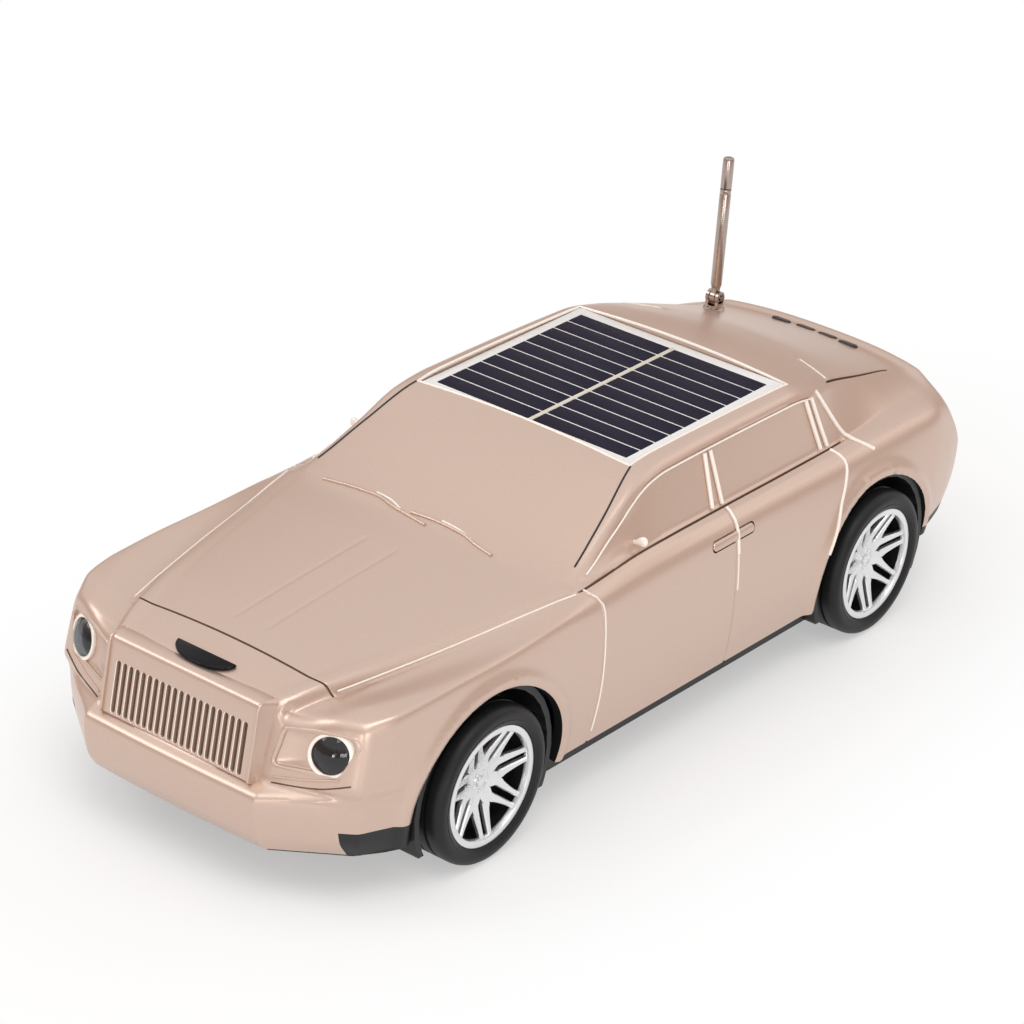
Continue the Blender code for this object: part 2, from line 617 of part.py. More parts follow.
tube_foot = EAR_RADIUS + FIT
tube = rod("aerial_tube", TUBE_RADIUS, (tube_foot, TUBE_TOP - PIVOT_Z), mat=STEEL, sides=16)
eye_half = EAR_SLOT / 2 - SNUG
eye = rod("aerial_eye", EAR_RADIUS - SNUG, (-eye_half, eye_half), "X", sides=16)
neck = box("aerial_neck", (2 * eye_half, 2.0, tube_foot + 0.4), (0.0, 0.0, (tube_foot + 0.4) / 2))
bore_radius = TUBE_RADIUS - TUBE_WALL
bore_foot = tube_foot + 1.5
fuse(tube, neck, eye)
cut(tube, rod("tube_bore", bore_radius, (bore_foot, 60.0), sides=16),
    rod("eye_hole", PIN_RADIUS + SLIDE_GAP, (-5.0, 5.0), "X", sides=12))
middle_radius = bore_radius - SLIDE_GAP
middle_top = TUBE_TOP - PIVOT_Z + SNUG
middle = rod("aerial_middle", middle_radius, (bore_foot + SNUG, middle_top), mat=STEEL, sides=16)
inner_bore = middle_radius - TUBE_WALL
cut(middle, rod("middle_bore", inner_bore, (bore_foot + 1.5, 60.0), sides=16))
inner_radius = inner_bore - SLIDE_GAP
cap_foot = middle_top + SNUG
inner = rod("aerial_inner", inner_radius, (bore_foot + 1.5 + SNUG, cap_foot + 3.0), mat=STEEL, sides=12)
cap = turned("aerial_cap",
             [(0.0, cap_foot + CAP_LENGTH), (TUBE_RADIUS - 0.3, cap_foot + CAP_LENGTH),
              (TUBE_RADIUS, cap_foot + CAP_LENGTH - 0.4), (TUBE_RADIUS, cap_foot), (inner_radius + SNUG, cap_foot),
              (inner_radius + SNUG, cap_foot + 3.0 + SNUG), (0.0, cap_foot + 3.0 + SNUG)], STEEL, False, 16)
for piece in (base, ears, ear_slot, ear_hole, pin, nut, tube, eye, neck, middle, inner, cap):
    piece.parent = pivot
for target in (nut, tube, middle):
    for step in target.modifiers:
        step.object.parent = pivot
cut(shell, rod("aerial_hole", STEM_RADIUS + FIT, (40.0, 60.0), at=(AERIAL_X, AERIAL_Y), sides=16))


def oval(width, depth, centre):
    """A slot outline with round ends."""
    radius = depth / 2
    points = []
    for end in (1, -1):
        for i in range(7):
            angle = math.pi * i / 6 - math.pi / 2 + (0.0 if end > 0 else math.pi)
            points.append((centre[0] + end * (width / 2 - radius) + radius * math.cos(angle),
                           centre[1] + radius * math.sin(angle)))
    return points


# Tail buttons
flange_top = -WALL - FLANGE_CLEAR
flange_foot = flange_top - BUTTON_FLANGE
switch_top = flange_foot - BUTTON_TRAVEL - SNUG
for number, centre in enumerate(BUTTON_XY, 1):
    button = slab("button_%d" % number, oval(*BUTTON_SIZE, centre), (flange_top - 0.2, BUTTON_PROUD), BUTTON_RUBBER)
    flange = slab("button_flange", oval(BUTTON_SIZE[0] + 1.2, BUTTON_SIZE[1] + 1.2, centre), (flange_foot, flange_top))
    fuse(button, flange)
    hole = slab("button_hole", oval(BUTTON_SIZE[0] + 2 * SNUG, BUTTON_SIZE[1] + 2 * SNUG, centre), (-6.0, 6.0))
    switch = box("tact_switch_%d" % number, (3.6, 3.6, switch_top - post_foot), (*centre, (switch_top + post_foot) / 2),
                 BLACK)
    for piece in (button, flange, hole, switch):
        piece.parent = deck_frame
    cut(shell, hole)
button_board = box("button_board", (2 * DECK_POST_X + 6.0, 7.6, 1.2), (0.0, -0.9, post_foot - SNUG - 0.6), GREEN_BOARD)
button_board.parent = deck_frame

# Wheels and axles
HUB_FOOT = -13.6
BORE_DEPTH = -4.8
RIM_PROFILE = [(0.0, -2.0), (RIM_RADIUS - 1.5, -1.1), (RIM_RADIUS - 1.1, 0.0), (RIM_RADIUS, 0.0),
               (RIM_RADIUS, -1.0), (RIM_RADIUS - 1.8, -1.3), (RIM_RADIUS - 1.8, 0.5 - TYRE_WIDTH),
               (RIM_RADIUS - 3.2, 0.5 - TYRE_WIDTH), (RIM_RADIUS - 3.2, -3.0), (3.4, -4.0), (3.4, HUB_FOOT),
               (AXLE_RADIUS + SNUG, HUB_FOOT), (AXLE_RADIUS + SNUG, BORE_DEPTH), (0.0, BORE_DEPTH)]
seat = RIM_RADIUS - 1.8 + SNUG
TYRE_PROFILE = [(RIM_RADIUS + SNUG, -0.1), (TYRE_RADIUS - 1.8, 0.5), (TYRE_RADIUS - 0.6, 0.0), (TYRE_RADIUS, -1.4),
                (TYRE_RADIUS, 1.4 - TYRE_WIDTH), (TYRE_RADIUS - 0.8, 0.2 - TYRE_WIDTH), (seat, 0.2 - TYRE_WIDTH),
                (seat, -1.6), (RIM_RADIUS + SNUG, -1.3)]
SPOKE_PAIRS = 7


def rim_windows(name):
    """One wide window between two spoke pairs and one narrow slot inside a pair, repeated round the wheel."""
    bm = bmesh.new()
    turn = 2 * math.pi / SPOKE_PAIRS
    shapes = [[(5.0, 0.0), (RIM_RADIUS - 2.4, 0.21), (RIM_RADIUS - 2.1, 0.0), (RIM_RADIUS - 2.4, -0.21)],
              [(6.0, 0.035), (RIM_RADIUS - 2.3, 0.055), (RIM_RADIUS - 2.3, -0.055), (6.0, -0.035)]]
    for pair in range(SPOKE_PAIRS):
        for kind, shape in enumerate(shapes):
            middle_angle = (pair + kind / 2) * turn
            ring = [(r * math.cos(middle_angle + a), r * math.sin(middle_angle + a)) for r, a in shape]
            low = [bm.verts.new((x, y, -6.0)) for x, y in ring]
            high = [bm.verts.new((x, y, 3.0)) for x, y in ring]
            bm.faces.new(low)
            bm.faces.new(high[::-1])
            for i in range(len(ring)):
                j = (i + 1) % len(ring)
                bm.faces.new((low[i], high[i], high[j], low[j]))
    bmesh.ops.recalc_face_normals(bm, faces=bm.faces)
    return add(name, mesh_of(bm, name), BLACK)


for end, end_word in ((-1, "front"), (1, "rear")):
    hub = empty(end_word + "_hub", (0.0, axle_y(end), AXLE_Z))
    axle_half = RIM_FACE + BORE_DEPTH - SNUG
    axle = rod(end_word + "_axle", AXLE_RADIUS, (-axle_half, axle_half), "X", mat=STEEL, sides=ROUND_STEPS)
    axle.parent = hub
    for side, side_word in ((1, "left"), (-1, "right")):
        wheel = empty("wheel_%s_%s" % (end_word, side_word), (side * RIM_FACE, 0.0, 0.0), (0.0, side * math.pi / 2, 0.0),
                      hub)
        rim = turned("rim_%s_%s" % (end_word, side_word), RIM_PROFILE, CHROME, False, RIM_STEPS)
        tyre = turned("tyre_%s_%s" % (end_word, side_word), TYRE_PROFILE, RUBBER, True)
        windows = rim_windows("rim_windows")
        for piece in (rim, tyre, windows):
            piece.parent = wheel
        tyre.rotation_euler = (0.0, 0.0, math.pi / ROUND_STEPS)
        cut(rim, windows)
        bush = turned("bush_%s_%s" % (end_word, side_word),
                      [(AXLE_RADIUS + SNUG, 1.6), (4.2, 1.6), (4.2, 0.7 + SNUG), (3.0, 0.7 + SNUG), (3.0, -1.8),
                       (AXLE_RADIUS + SNUG, -1.8)], BRASS, True, 24)
        place(bush, (side * (WELL_INNER_X + WELL_WALL - 0.7), axle_y(end), AXLE_Z), (0.0, side * math.pi / 2, 0.0))


# Chassis
def floor_outline(inset):
    half = SILL_HALF - WALL - FIT - 0.2 - inset
    left = [(CORNER_X - 2.0 - inset * 0.4, NOSE_Y + 1.9 + inset), (half - 6.5 + inset * 0.2, -94.4 + inset), (half - 3.1, -89.0),
            (half, -82.0), (half, 82.0), (half - 2.0, 93.0), (half - 6.1 + inset * 0.2, REAR_FACE_Y - 11.8 - inset),
            (CORNER_X - 2.0 - inset * 0.4, REAR_FACE_Y - 7.8 - inset)]
    return left + [(-x, y) for x, y in reversed(left)]


chassis = slab("chassis_tray", floor_outline(0.0), (FLOOR_Z, TRAY_TOP), BLACK)
cut(chassis, slab("tray_hollow", floor_outline(TRAY_WALL), (FLOOR_TOP, TRAY_TOP + 5.0)))
corners = [(end, side) for end in (-1, 1) for side in (-1, 1)]
for end, side in corners:
    span = sorted((side * WELL_INNER_X, side * (SILL_HALF + 0.4)))
    fuse(chassis, rod("well", WELL_RADIUS, span, "X", (axle_y(end), AXLE_Z), sides=ARCH_STEPS))
for x, y in SCREW_XY:
    fuse(chassis, rod("screw_pad", SCREW_HEAD + 1.6, (FLOOR_Z, FLOOR_TOP + FLOOR), at=(x, y), sides=14))
for side in (-1, 1):
    for end in (-1, 1):
        fuse(chassis, rod("board_post", 2.0, (FLOOR_Z + 0.5, MAIN_BOARD_Z - SNUG), sides=12,
                          at=(side * BOARD_POST[0], MAIN_BOARD_Y + end * BOARD_POST[1])))
for end, side in corners:
    span = sorted((side * (WELL_INNER_X + WELL_WALL), side * 60.0))
    cut(chassis, rod("well_hollow", WELL_RADIUS - WELL_WALL, span, "X", (axle_y(end), AXLE_Z), sides=ARCH_STEPS))
    span = sorted((side * (WELL_INNER_X - 5.0), side * 40.0))
    cut(chassis, rod("bush_hole", 3.0 + SNUG, span, "X", (axle_y(end), AXLE_Z), sides=24))
cut(chassis, box("under_cut", (200.0, 300.0, 40.0), (0.0, 0.0, FLOOR_Z - 20.0)))
for x, y in SCREW_XY:
    cut(chassis, rod("head_recess", SCREW_HEAD + FIT, (0.0, FLOOR_Z + 1.7), at=(x, y), sides=14),
        rod("screw_hole", SCREW_RADIUS + FIT, (0.0, 20.0), at=(x, y), sides=12))
    screw = turned("screw", [(0.0, 20.0), (SCREW_RADIUS, 19.4), (SCREW_RADIUS, FLOOR_Z + 1.55), (SCREW_HEAD, FLOOR_Z + 1.55),
                             (SCREW_HEAD, FLOOR_Z + 0.4), (0.0, FLOOR_Z + 0.4)], STEEL, False, 12)
    screw.name = "screw_%s_%s" % ("front" if y < 0 else "rear", "left" if x > 0 else "right")
    place(screw, (x, y, 0.0))
bm = bmesh.new()
bmesh.ops.create_cube(bm, size=1.0)
bmesh.ops.scale(bm, vec=(SOUND_SLOT[0], SOUND_SLOT[1], 20.0), verts=bm.verts)
bmesh.ops.translate(bm, vec=(0.0, SPEAKER_Y - SOUND_PITCH * (SOUND_COUNT - 1) / 2, FLOOR_Z), verts=bm.verts)
sound = add("sound_slots", mesh_of(bm, "sound_slots"), BLACK)
spread = sound.modifiers.new("Slots", "ARRAY")
spread.count = SOUND_COUNT
spread.use_relative_offset = False
spread.use_constant_offset = True
spread.constant_offset_displace = (0.0, SOUND_PITCH * MM, 0.0)
cut(chassis, sound)

# Speaker
speaker_frame = empty("speaker_frame", (0.0, SPEAKER_Y, FLOOR_TOP + SNUG + GASKET_THICK))
flange_inner = SPEAKER_RADIUS - SPEAKER_FLANGE
gasket = turned("speaker_gasket", [(SPEAKER_RADIUS, 0.0), (SPEAKER_RADIUS, -GASKET_THICK), (flange_inner, -GASKET_THICK),
                                   (flange_inner, 0.0)], FOAM, True, 24)
basket = turned("speaker_basket",
                [(SPEAKER_FLANGE, BASKET_DEPTH), (BASKET_BACK, BASKET_DEPTH), (SPEAKER_RADIUS - 1.8, BASKET_SHEET + 0.1),
                 (SPEAKER_RADIUS, BASKET_SHEET), (SPEAKER_RADIUS, SNUG), (flange_inner, SNUG),
                 (BASKET_BACK - 0.8, BASKET_DEPTH - BASKET_SHEET), (SPEAKER_FLANGE, BASKET_DEPTH - BASKET_SHEET)],
                FERRITE, True, 24)
cone_rise = BASKET_DEPTH - 3.4
cone = turned("speaker_cone",
              [(0.0, cone_rise), (VOICE_RADIUS, cone_rise - 0.4), (flange_inner - 2.2, 1.5), (flange_inner - 1.0, 0.9),
               (flange_inner - 1.0, 0.3), (flange_inner - 2.2, 0.3), (VOICE_RADIUS - 0.2, cone_rise - 1.2), (0.0, cone_rise - 0.8)],
              PAPER, False, 24)
magnet = rod("speaker_magnet", MAGNET_RADIUS, (BASKET_DEPTH + SNUG, BASKET_DEPTH + SNUG + MAGNET_DEPTH), mat=FERRITE)
for piece in (gasket, basket, cone, magnet):
    piece.parent = speaker_frame

# Battery, boards, socket and switch
cell_z = FLOOR_TOP + SNUG + 1.2 + CELL_RADIUS
battery = rod("battery_cell", CELL_RADIUS, (-CELL_LENGTH / 2, CELL_LENGTH / 2), "X", (CELL_Y, cell_z), SLEEVE, sides=20)
holder = box("battery_holder", (CELL_LENGTH - HOLDER_INSET, 2 * CELL_RADIUS - 2.0, HOLDER_DEPTH),
             (0.0, CELL_Y, FLOOR_TOP + SNUG + HOLDER_DEPTH / 2), BLACK)
cut(holder, rod("holder_seat", CELL_RADIUS + FIT, (-60.0, 60.0), "X", (CELL_Y, cell_z), sides=20))
main_board = box("main_board", MAIN_BOARD, (0.0, MAIN_BOARD_Y, MAIN_BOARD_Z + MAIN_BOARD[2] / 2), GREEN_BOARD)
deck_z = MAIN_BOARD_Z + MAIN_BOARD[2] + SNUG
socket_z = deck_z + SOCKET_SIZE[2] / 2
socket_y = REAR_FACE_Y - 1.2 - SOCKET_SIZE[1] / 2
socket = box("charge_socket", SOCKET_SIZE, (SOCKET_X, socket_y, socket_z), STEEL)
cut(socket, box("socket_mouth", (SOCKET_SIZE[0] - 1.2, SOCKET_SIZE[1], SOCKET_SIZE[2] - 1.2), (SOCKET_X, socket_y + 1.6, socket_z)))
cut(shell, box("socket_hole", (SOCKET_SIZE[0] + 2 * FIT, 14.0, SOCKET_SIZE[2] + 2 * FIT), (SOCKET_X, REAR_FACE_Y - 2.0, socket_z)))
switch_z = deck_z + SWITCH_SIZE[2] / 2
switch_y = REAR_FACE_Y - WALL - 1.4 - SWITCH_SIZE[1] / 2
power = box("power_switch", SWITCH_SIZE, (SWITCH_X, switch_y, switch_z), STEEL)
slider_x = SWITCH_X - SLIDER_TRAVEL / 2
slider_y = switch_y + SWITCH_SIZE[1] / 2 + SNUG + SLIDER_SIZE[1] / 2
slider = place(box("power_slider", SLIDER_SIZE, (0.0, 0.0, 0.0), BLACK), (slider_x, slider_y, switch_z))
cut(shell, box("slider_slot", (SLIDER_SIZE[0] + SLIDER_TRAVEL + 2 * FIT, 14.0, SLIDER_SIZE[2] + 2 * FIT),
               (SWITCH_X, REAR_FACE_Y - 2.0, switch_z)))
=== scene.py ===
import math

import bmesh
import bpy
import numpy as np
from mathutils import Matrix, Vector


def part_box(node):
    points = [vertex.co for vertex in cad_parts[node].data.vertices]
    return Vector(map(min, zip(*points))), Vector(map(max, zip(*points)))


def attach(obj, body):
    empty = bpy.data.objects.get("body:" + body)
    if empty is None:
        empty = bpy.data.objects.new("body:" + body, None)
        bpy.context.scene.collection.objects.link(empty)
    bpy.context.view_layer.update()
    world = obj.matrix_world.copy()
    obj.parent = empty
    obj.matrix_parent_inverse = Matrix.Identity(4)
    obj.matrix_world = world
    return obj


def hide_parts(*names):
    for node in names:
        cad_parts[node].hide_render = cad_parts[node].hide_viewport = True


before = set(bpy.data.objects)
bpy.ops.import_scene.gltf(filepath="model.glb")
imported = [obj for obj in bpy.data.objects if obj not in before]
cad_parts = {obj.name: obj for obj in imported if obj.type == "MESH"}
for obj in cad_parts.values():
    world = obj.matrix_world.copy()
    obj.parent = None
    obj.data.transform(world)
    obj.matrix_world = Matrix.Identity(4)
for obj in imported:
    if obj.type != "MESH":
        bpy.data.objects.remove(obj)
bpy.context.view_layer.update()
MM = 0.001

# Body sizes, in millimetres, as in the part's source
SILL_Z = 12.0
ROOF_Z = 61.4
ROOF_HALF = 31.3
BELT_HALF = 36.4
WAIST_HALF = 43.0
SHOULDER_HALF = WAIST_HALF - 1.6
SILL_HALF = WAIST_HALF - 1.0
CORNER_X = SILL_HALF - 20.0
TAIL_HALF = WAIST_HALF - 5.0
NOSE_Y = -106.0
COWL_Y = -40.0
HEADER_Y = -6.0
ROOF_END_Y = 56.0
BOOT_Y = 70.0
REAR_FACE_Y = 111.6
TAIL_Y = REAR_FACE_Y - 2.2
FRONT_BLEND_Y = NOSE_Y + 22.0
REAR_BLEND_Y = TAIL_Y - 17.4
WALL = 1.6
GROOVE_DEPTH = 0.6
FIT = 0.2

# Wheels
AXLE_Y = 67.2
TYRE_RADIUS = 16.8
# The solid tyre is a polygon that stands on one of its flats
TYRE_FLATS = 28
AXLE_Z = TYRE_RADIUS * math.cos(math.pi / TYRE_FLATS)
# Wheel arches of the skin: place along the car, half length; and their common height over the axle
ARCHES = ((-AXLE_Y + 1.0, 22.2), (AXLE_Y + 0.3, 21.6))
ARCH_RISE = 19.7
ARCH_LIP = 0.9
RIM_FACE = WAIST_HALF + 1.5
RIM_RADIUS = 12.9
SPOKE_PAIRS = 7

# Solar panel
PANEL = 55.0
PANEL_PLACE = (0.0, 20.8, 60.75)
PANEL_TILT = math.radians(0.85)
CELL_AREA = (50.0, 49.6)
CELL_SHIFT = (0.0, -0.4)
CELL_ROWS = 10
CELL_GAP = 0.5
BUS_HALF = 0.6

# Grille, badge and lamps
GRILLE_PLACE = (0.0, -108.0, 31.9)
GRILLE_TILT = math.radians(-8.6)
SLOT_COUNT = 21
SLOT_PITCH = 1.64
LAMP_PLACE = (31.4, -101.9, 32.4)
CHIN_TOP = 16.8
CHIN_INNER_X = SILL_HALF - 7.4

# Aerial and tail
AERIAL_PIVOT = (-19.8, 89.7, 53.4)
TUBE_RADIUS = 1.3
TUBE_TOP = 79.9
AERIAL_TOP = 87.3
DECK_PLACE = (0.0, 103.3, 47.1)
DECK_SLOPE = math.radians(-17.5)
BUTTON_SIZE = (4.9, 2.4)
BUTTON_XY = ((-9.25, -0.9), (-3.06, 0.0), (3.06, 0.0), (9.25, -0.9))
BUTTON_PROUD = 0.4

# Character lines of the left half of the body: place along the car, half width, height
CENTRE_LINE = [
    (NOSE_Y, 0.0, 40.6), (-95.0, 0.0, 43.0), (-70.0, 0.0, 45.6), (-50.0, 0.0, 47.2), (COWL_Y, 0.0, 48.0),
    (COWL_Y + 3.0, 0.0, 49.0), (HEADER_Y - 3.0, 0.0, ROOF_Z - 1.0), (HEADER_Y + 1.0, 0.0, ROOF_Z - 0.3),
    (20.0, 0.0, ROOF_Z), (48.0, 0.0, ROOF_Z + 0.1), (ROOF_END_Y, 0.0, ROOF_Z - 0.5), (BOOT_Y, 0.0, 57.9),
    (85.0, 0.0, 53.0), (97.0, 0.0, 49.0), (103.3, 0.0, 47.1), (105.0, 0.0, 46.7), (107.0, 0.0, 47.1),
    (TAIL_Y, 0.0, 46.9)]
UPPER_LINE = [
    (NOSE_Y, 17.5, 40.3), (-95.0, 21.0, 42.3), (-70.0, 26.5, 44.3), (-50.0, 30.5, 45.5), (-38.0, 33.2, 46.1),
    (-33.5, 34.3, 46.9), (-20.0, ROOF_HALF + 1.7, 53.0), (HEADER_Y, ROOF_HALF + 0.3, ROOF_Z - 1.8),
    (HEADER_Y + 6.0, ROOF_HALF, ROOF_Z - 1.1), (20.0, ROOF_HALF - 0.1, ROOF_Z - 0.9),
    (45.0, ROOF_HALF - 0.3, ROOF_Z - 1.1), (ROOF_END_Y, ROOF_HALF - 1.1, ROOF_Z - 2.8), (64.3, 28.6, 56.6),
    (80.0, 26.5, 52.3), (97.0, 24.2, 47.7), (104.6, 25.4, 46.1), (107.0, 26.2, 46.4), (TAIL_Y, 26.5, 46.2)]
BELT_LINE = [
    (NOSE_Y, 20.8, 39.9), (-96.9, 24.0, 41.7), (-71.8, 30.2, 43.1), (-51.0, 34.4, 44.1), (-40.3, 36.7, 44.7),
    (-33.0, BELT_HALF + 1.6, 45.0), (-13.0, BELT_HALF + 1.1, 46.2), (15.5, BELT_HALF, 45.6),
    (40.0, BELT_HALF - 0.6, 45.2), (60.0, BELT_HALF - 1.2, 45.0), (80.0, 33.4, 45.3), (97.0, 32.0, 45.0),
    (TAIL_Y, 32.0, 44.2)]
CREST_LINE = [
    (NOSE_Y, SHOULDER_HALF - 3.8, 39.4), (-97.0, SHOULDER_HALF - 1.0, 40.9),
    (-85.0, SHOULDER_HALF - 0.1, 41.6),
    (-67.0, SHOULDER_HALF + 0.2, 42.3), (-33.0, SHOULDER_HALF, 43.3), (15.0, SHOULDER_HALF - 0.9, 44.1),
    (58.0, SHOULDER_HALF - 1.8, 44.1), (80.0, SHOULDER_HALF - 2.2, 43.9), (97.0, SHOULDER_HALF - 2.4, 43.6),
    (TAIL_Y, SHOULDER_HALF - 4.0, 42.4)]
WAIST_LINE = [
    (NOSE_Y, WAIST_HALF - 4.4, 28.0), (-95.0, WAIST_HALF - 1.4, 29.0), (-67.0, WAIST_HALF + 0.3, 29.5),
    (-33.0, WAIST_HALF, 29.5), (15.0, WAIST_HALF - 0.2, 30.0), (67.0, WAIST_HALF + 0.2, 30.0),
    (90.0, WAIST_HALF - 0.8, 30.0), (102.0, WAIST_HALF - 2.4, 29.0), (TAIL_Y, WAIST_HALF - 4.4, 28.0)]
SILL_LINE = [
    (NOSE_Y, SILL_HALF - 5.4, SILL_Z - 1.2), (-95.0, SILL_HALF - 1.8, SILL_Z - 0.6),
    (-67.0, SILL_HALF, SILL_Z),
    (67.0, SILL_HALF, SILL_Z), (86.0, SILL_HALF - 0.6, SILL_Z + 2.6), (95.0, SILL_HALF - 1.4, SILL_Z + 3.8),
    (102.0, SILL_HALF - 2.6, SILL_Z + 4.5), (TAIL_Y, SILL_HALF - 5.2, SILL_Z + 4.7)]
# Upright shape of the front and rear faces: height, place along the car
FRONT_PROFILE = [
    (SILL_Z - 1.2, -108.4), (14.5, -110.8), (21.5, -112.0), (23.4, -111.6), (24.9, -109.2), (26.0, -108.7),
    (41.0, -105.4)]
REAR_PROFILE = [
    (SILL_Z, REAR_FACE_Y - 5.0), (16.0, REAR_FACE_Y - 1.6), (24.0, REAR_FACE_Y), (32.0, REAR_FACE_Y),
    (40.0, REAR_FACE_Y - 1.2), (45.0, REAR_FACE_Y - 2.4)]
# Shut lines down the side: height, place along the car
DOOR_FRONT_LINE = [(12.2, -33.7), (26.6, -32.0), (41.5, -31.5), (43.2, -32.3), (45.0, -34.2)]
DOOR_REAR_LINE = [(13.0, 13.8), (25.7, 14.0), (37.0, 14.5), (42.0, 14.9), (43.6, 15.2), (45.6, 15.6)]
REAR_DOOR_LINE = [(25.8, 47.1), (31.8, 50.6), (40.0, 55.7), (43.6, 57.3), (44.4, 57.0), (45.2, 56.2)]
DOOR_SEAMS = ((DOOR_FRONT_LINE, -32.0), (DOOR_REAR_LINE, 14.5))
BONNET_LINE_Y = -95.1
BOOT_LINE_Y = 69.5
# Step down outside the bonnet: places along the car and depths; then how far out and down the pale line lies
BONNET_STEP = ((-90.0, -60.0, -42.0), (1.8, 0.9, 0.0))
# The pale line is a bead in the painted highlight
BEAD_COLUMNS = 4
BEAD_DROP = 0.5
BOOT_BOW = 5.2
BOOT_HALF = 27.6


def hex_colour(code):
    """An sRGB hex value as linear RGBA."""
    parts = [int(code[i:i + 2], 16) / 255.0 for i in (1, 3, 5)]
    linear = [c / 12.92 if c <= 0.04045 else ((c + 0.055) / 1.055) ** 2.4 for c in parts]
    return (*linear, 1.0)


def add_node(tree, kind, inputs=None, **settings):
    """Adds a node with its settings; an input is a constant or another node's output."""
    made = tree.nodes.new(kind)
    for name, value in settings.items():
        setattr(made, name, value)
    for name, value in (inputs or {}).items():
        if isinstance(value, bpy.types.NodeSocket):
            tree.links.new(value, made.inputs[name])
        else:
            made.inputs[name].default_value = value
    return made


def per_mm(size):
    """Texture scale, in cycles per metre, of a pattern that repeats every size millimetres."""
    return 1.0 / (size * MM)


def finish(name, colours, grain, bump, roughness, **sockets):
    """A material whose colour and gloss drift over its grain (mm), with a fine bump (mm, mm, strength)."""
    material = bpy.data.materials.new(name)
    material.use_nodes = True
    tree = material.node_tree
    shader = tree.nodes["Principled BSDF"]
    for socket, value in sockets.items():
        shader.inputs[socket.replace("_", " ")].default_value = value
    place = add_node(tree, "ShaderNodeTexCoord").outputs["Object"]
    drift = add_node(tree, "ShaderNodeTexNoise",
                     {"Vector": place, "Scale": per_mm(grain), "Detail": 4.0, "Roughness": 0.55})
    tint = add_node(tree, "ShaderNodeMix", {"Factor": drift.outputs["Fac"], "A": hex_colour(colours[0]),
                                            "B": hex_colour(colours[1])}, data_type="RGBA")
    tree.links.new(tint.outputs["Result"], shader.inputs["Base Color"])
    gloss = add_node(tree, "ShaderNodeMapRange", {"Value": drift.outputs["Fac"], "To Min": roughness[0],
                                                  "To Max": roughness[1]})
    tree.links.new(gloss.outputs["Result"], shader.inputs["Roughness"])
    fine = add_node(tree, "ShaderNodeTexNoise", {"Vector": place, "Scale": per_mm(bump[0]), "Detail": 3.0})
    relief = add_node(tree, "ShaderNodeBump", {"Height": fine.outputs["Fac"], "Strength": bump[2],
                                               "Distance": bump[1] * MM})
    tree.links.new(relief.outputs["Normal"], shader.inputs["Normal"])
    return material


# Flakes, eroded grain and brushing too fine to show in the render are drawn at about half a millimetre

# Sprayed champagne metallic on ABS: a warm satin sheen with fine bright flakes and a faint orange peel
PAINT = finish("champagne_metallic_paint", ("#C9B0A1", "#D3BBAD"), 0.5, (0.6, 0.02, 0.2), (0.32, 0.38),
               Metallic=0.7, Coat_Weight=0.15, Coat_Roughness=0.15)
# Painted highlight: pale cream over ribs and raised edges, standing for the light that they catch
PAINTED_HIGHLIGHT = finish("painted_highlight_edge", ("#F6ECE2", "#FCF6EF"), 0.6, (0.4, 0.008, 0.2), (0.3, 0.38),
              Metallic=0.15)
# Painted shade: a dark matt brown laid into the shut lines, slot floors and recesses, where the shade falls
PAINTED_SEAM_SHADE = finish("dark_painted_seam_shade", ("#5E493C", "#6D5647"), 0.8, (0.4, 0.02, 0.3), (0.7, 0.85),
              Specular_IOR_Level=0.15)
# Moulded ABS, spark eroded: soft black with a fine grain
BLACK = finish("black_moulded_abs", ("#0E0E0F", "#161617"), 2.0, (0.45, 0.03, 0.4), (0.42, 0.55))
# Piano black acrylic: deep black with a clear gloss
GLOSS_BLACK = finish("gloss_black_acrylic", ("#08080A", "#0C0C0E"), 3.0, (1.5, 0.004, 0.2), (0.12, 0.18),
                     Specular_IOR_Level=0.2)
# Moulded tyre rubber: dull charcoal, slightly bloomed
RUBBER = finish("moulded_tyre_rubber", ("#141415", "#1C1C1D"), 1.6, (0.35, 0.02, 0.4), (0.4, 0.52),
                Specular_IOR_Level=0.3)
# Sprayed bright silver over ABS, clear lacquered: near white with soft grey shading
PLATED = finish("silver_lacquered_abs", ("#DCDDDF", "#EAEBED"), 2.2, (1.1, 0.006, 0.3), (0.24, 0.34),
                Metallic=0.85)
# Drawn and nickel plated steel tube: bright, with a faint brushed drift
# Its warm brown tint is a painted reflection of the champagne body
STEEL = finish("nickel_steel_painted_reflection", ("#A2928A", "#B9ABA3"), 0.9, (0.3, 0.004, 0.35), (0.16, 0.26),
               Metallic=1.0)
# Turned brass: warm yellow metal
BRASS = finish("turned_brass", ("#B98F45", "#CFA75A"), 0.8, (0.2, 0.005, 0.4), (0.28, 0.4), Metallic=1.0)
# White solder mask under clear resin
WHITE_BOARD = finish("white_solder_mask", ("#E8E6E4", "#F1EFED"), 3.0, (0.9, 0.004, 0.2), (0.4, 0.5),
                     Specular_IOR_Level=0.3)
# Monocrystalline silicon under matt resin: near black navy with a violet drift from strip to strip
SILICON = finish("monocrystalline_silicon", ("#121124", "#1D1932"), 6.0, (0.5, 0.003, 0.2), (0.4, 0.5),
                 Specular_IOR_Level=0.08)
# Tinned cream ribbon between the two columns of cells
RIBBON = finish("tinned_bus_ribbon", ("#DCD3C0", "#E8E0CF"), 1.2, (0.4, 0.006, 0.3), (0.35, 0.45),
                Metallic=0.3)
# Smoked polycarbonate lens: a dark ball with sharp lights on it
LENS = finish("smoked_polycarbonate", ("#5A5B60", "#66676C"), 4.0, (3.0, 0.003, 0.1), (0.02, 0.04),
              Transmission_Weight=1.0, IOR=1.58)
# Dark chrome reflector behind the lens
REFLECTOR = finish("dark_chrome_reflector", ("#2B2C30", "#3C3D42"), 1.0, (0.8, 0.02, 0.4), (0.12, 0.2),
                   Metallic=1.0)
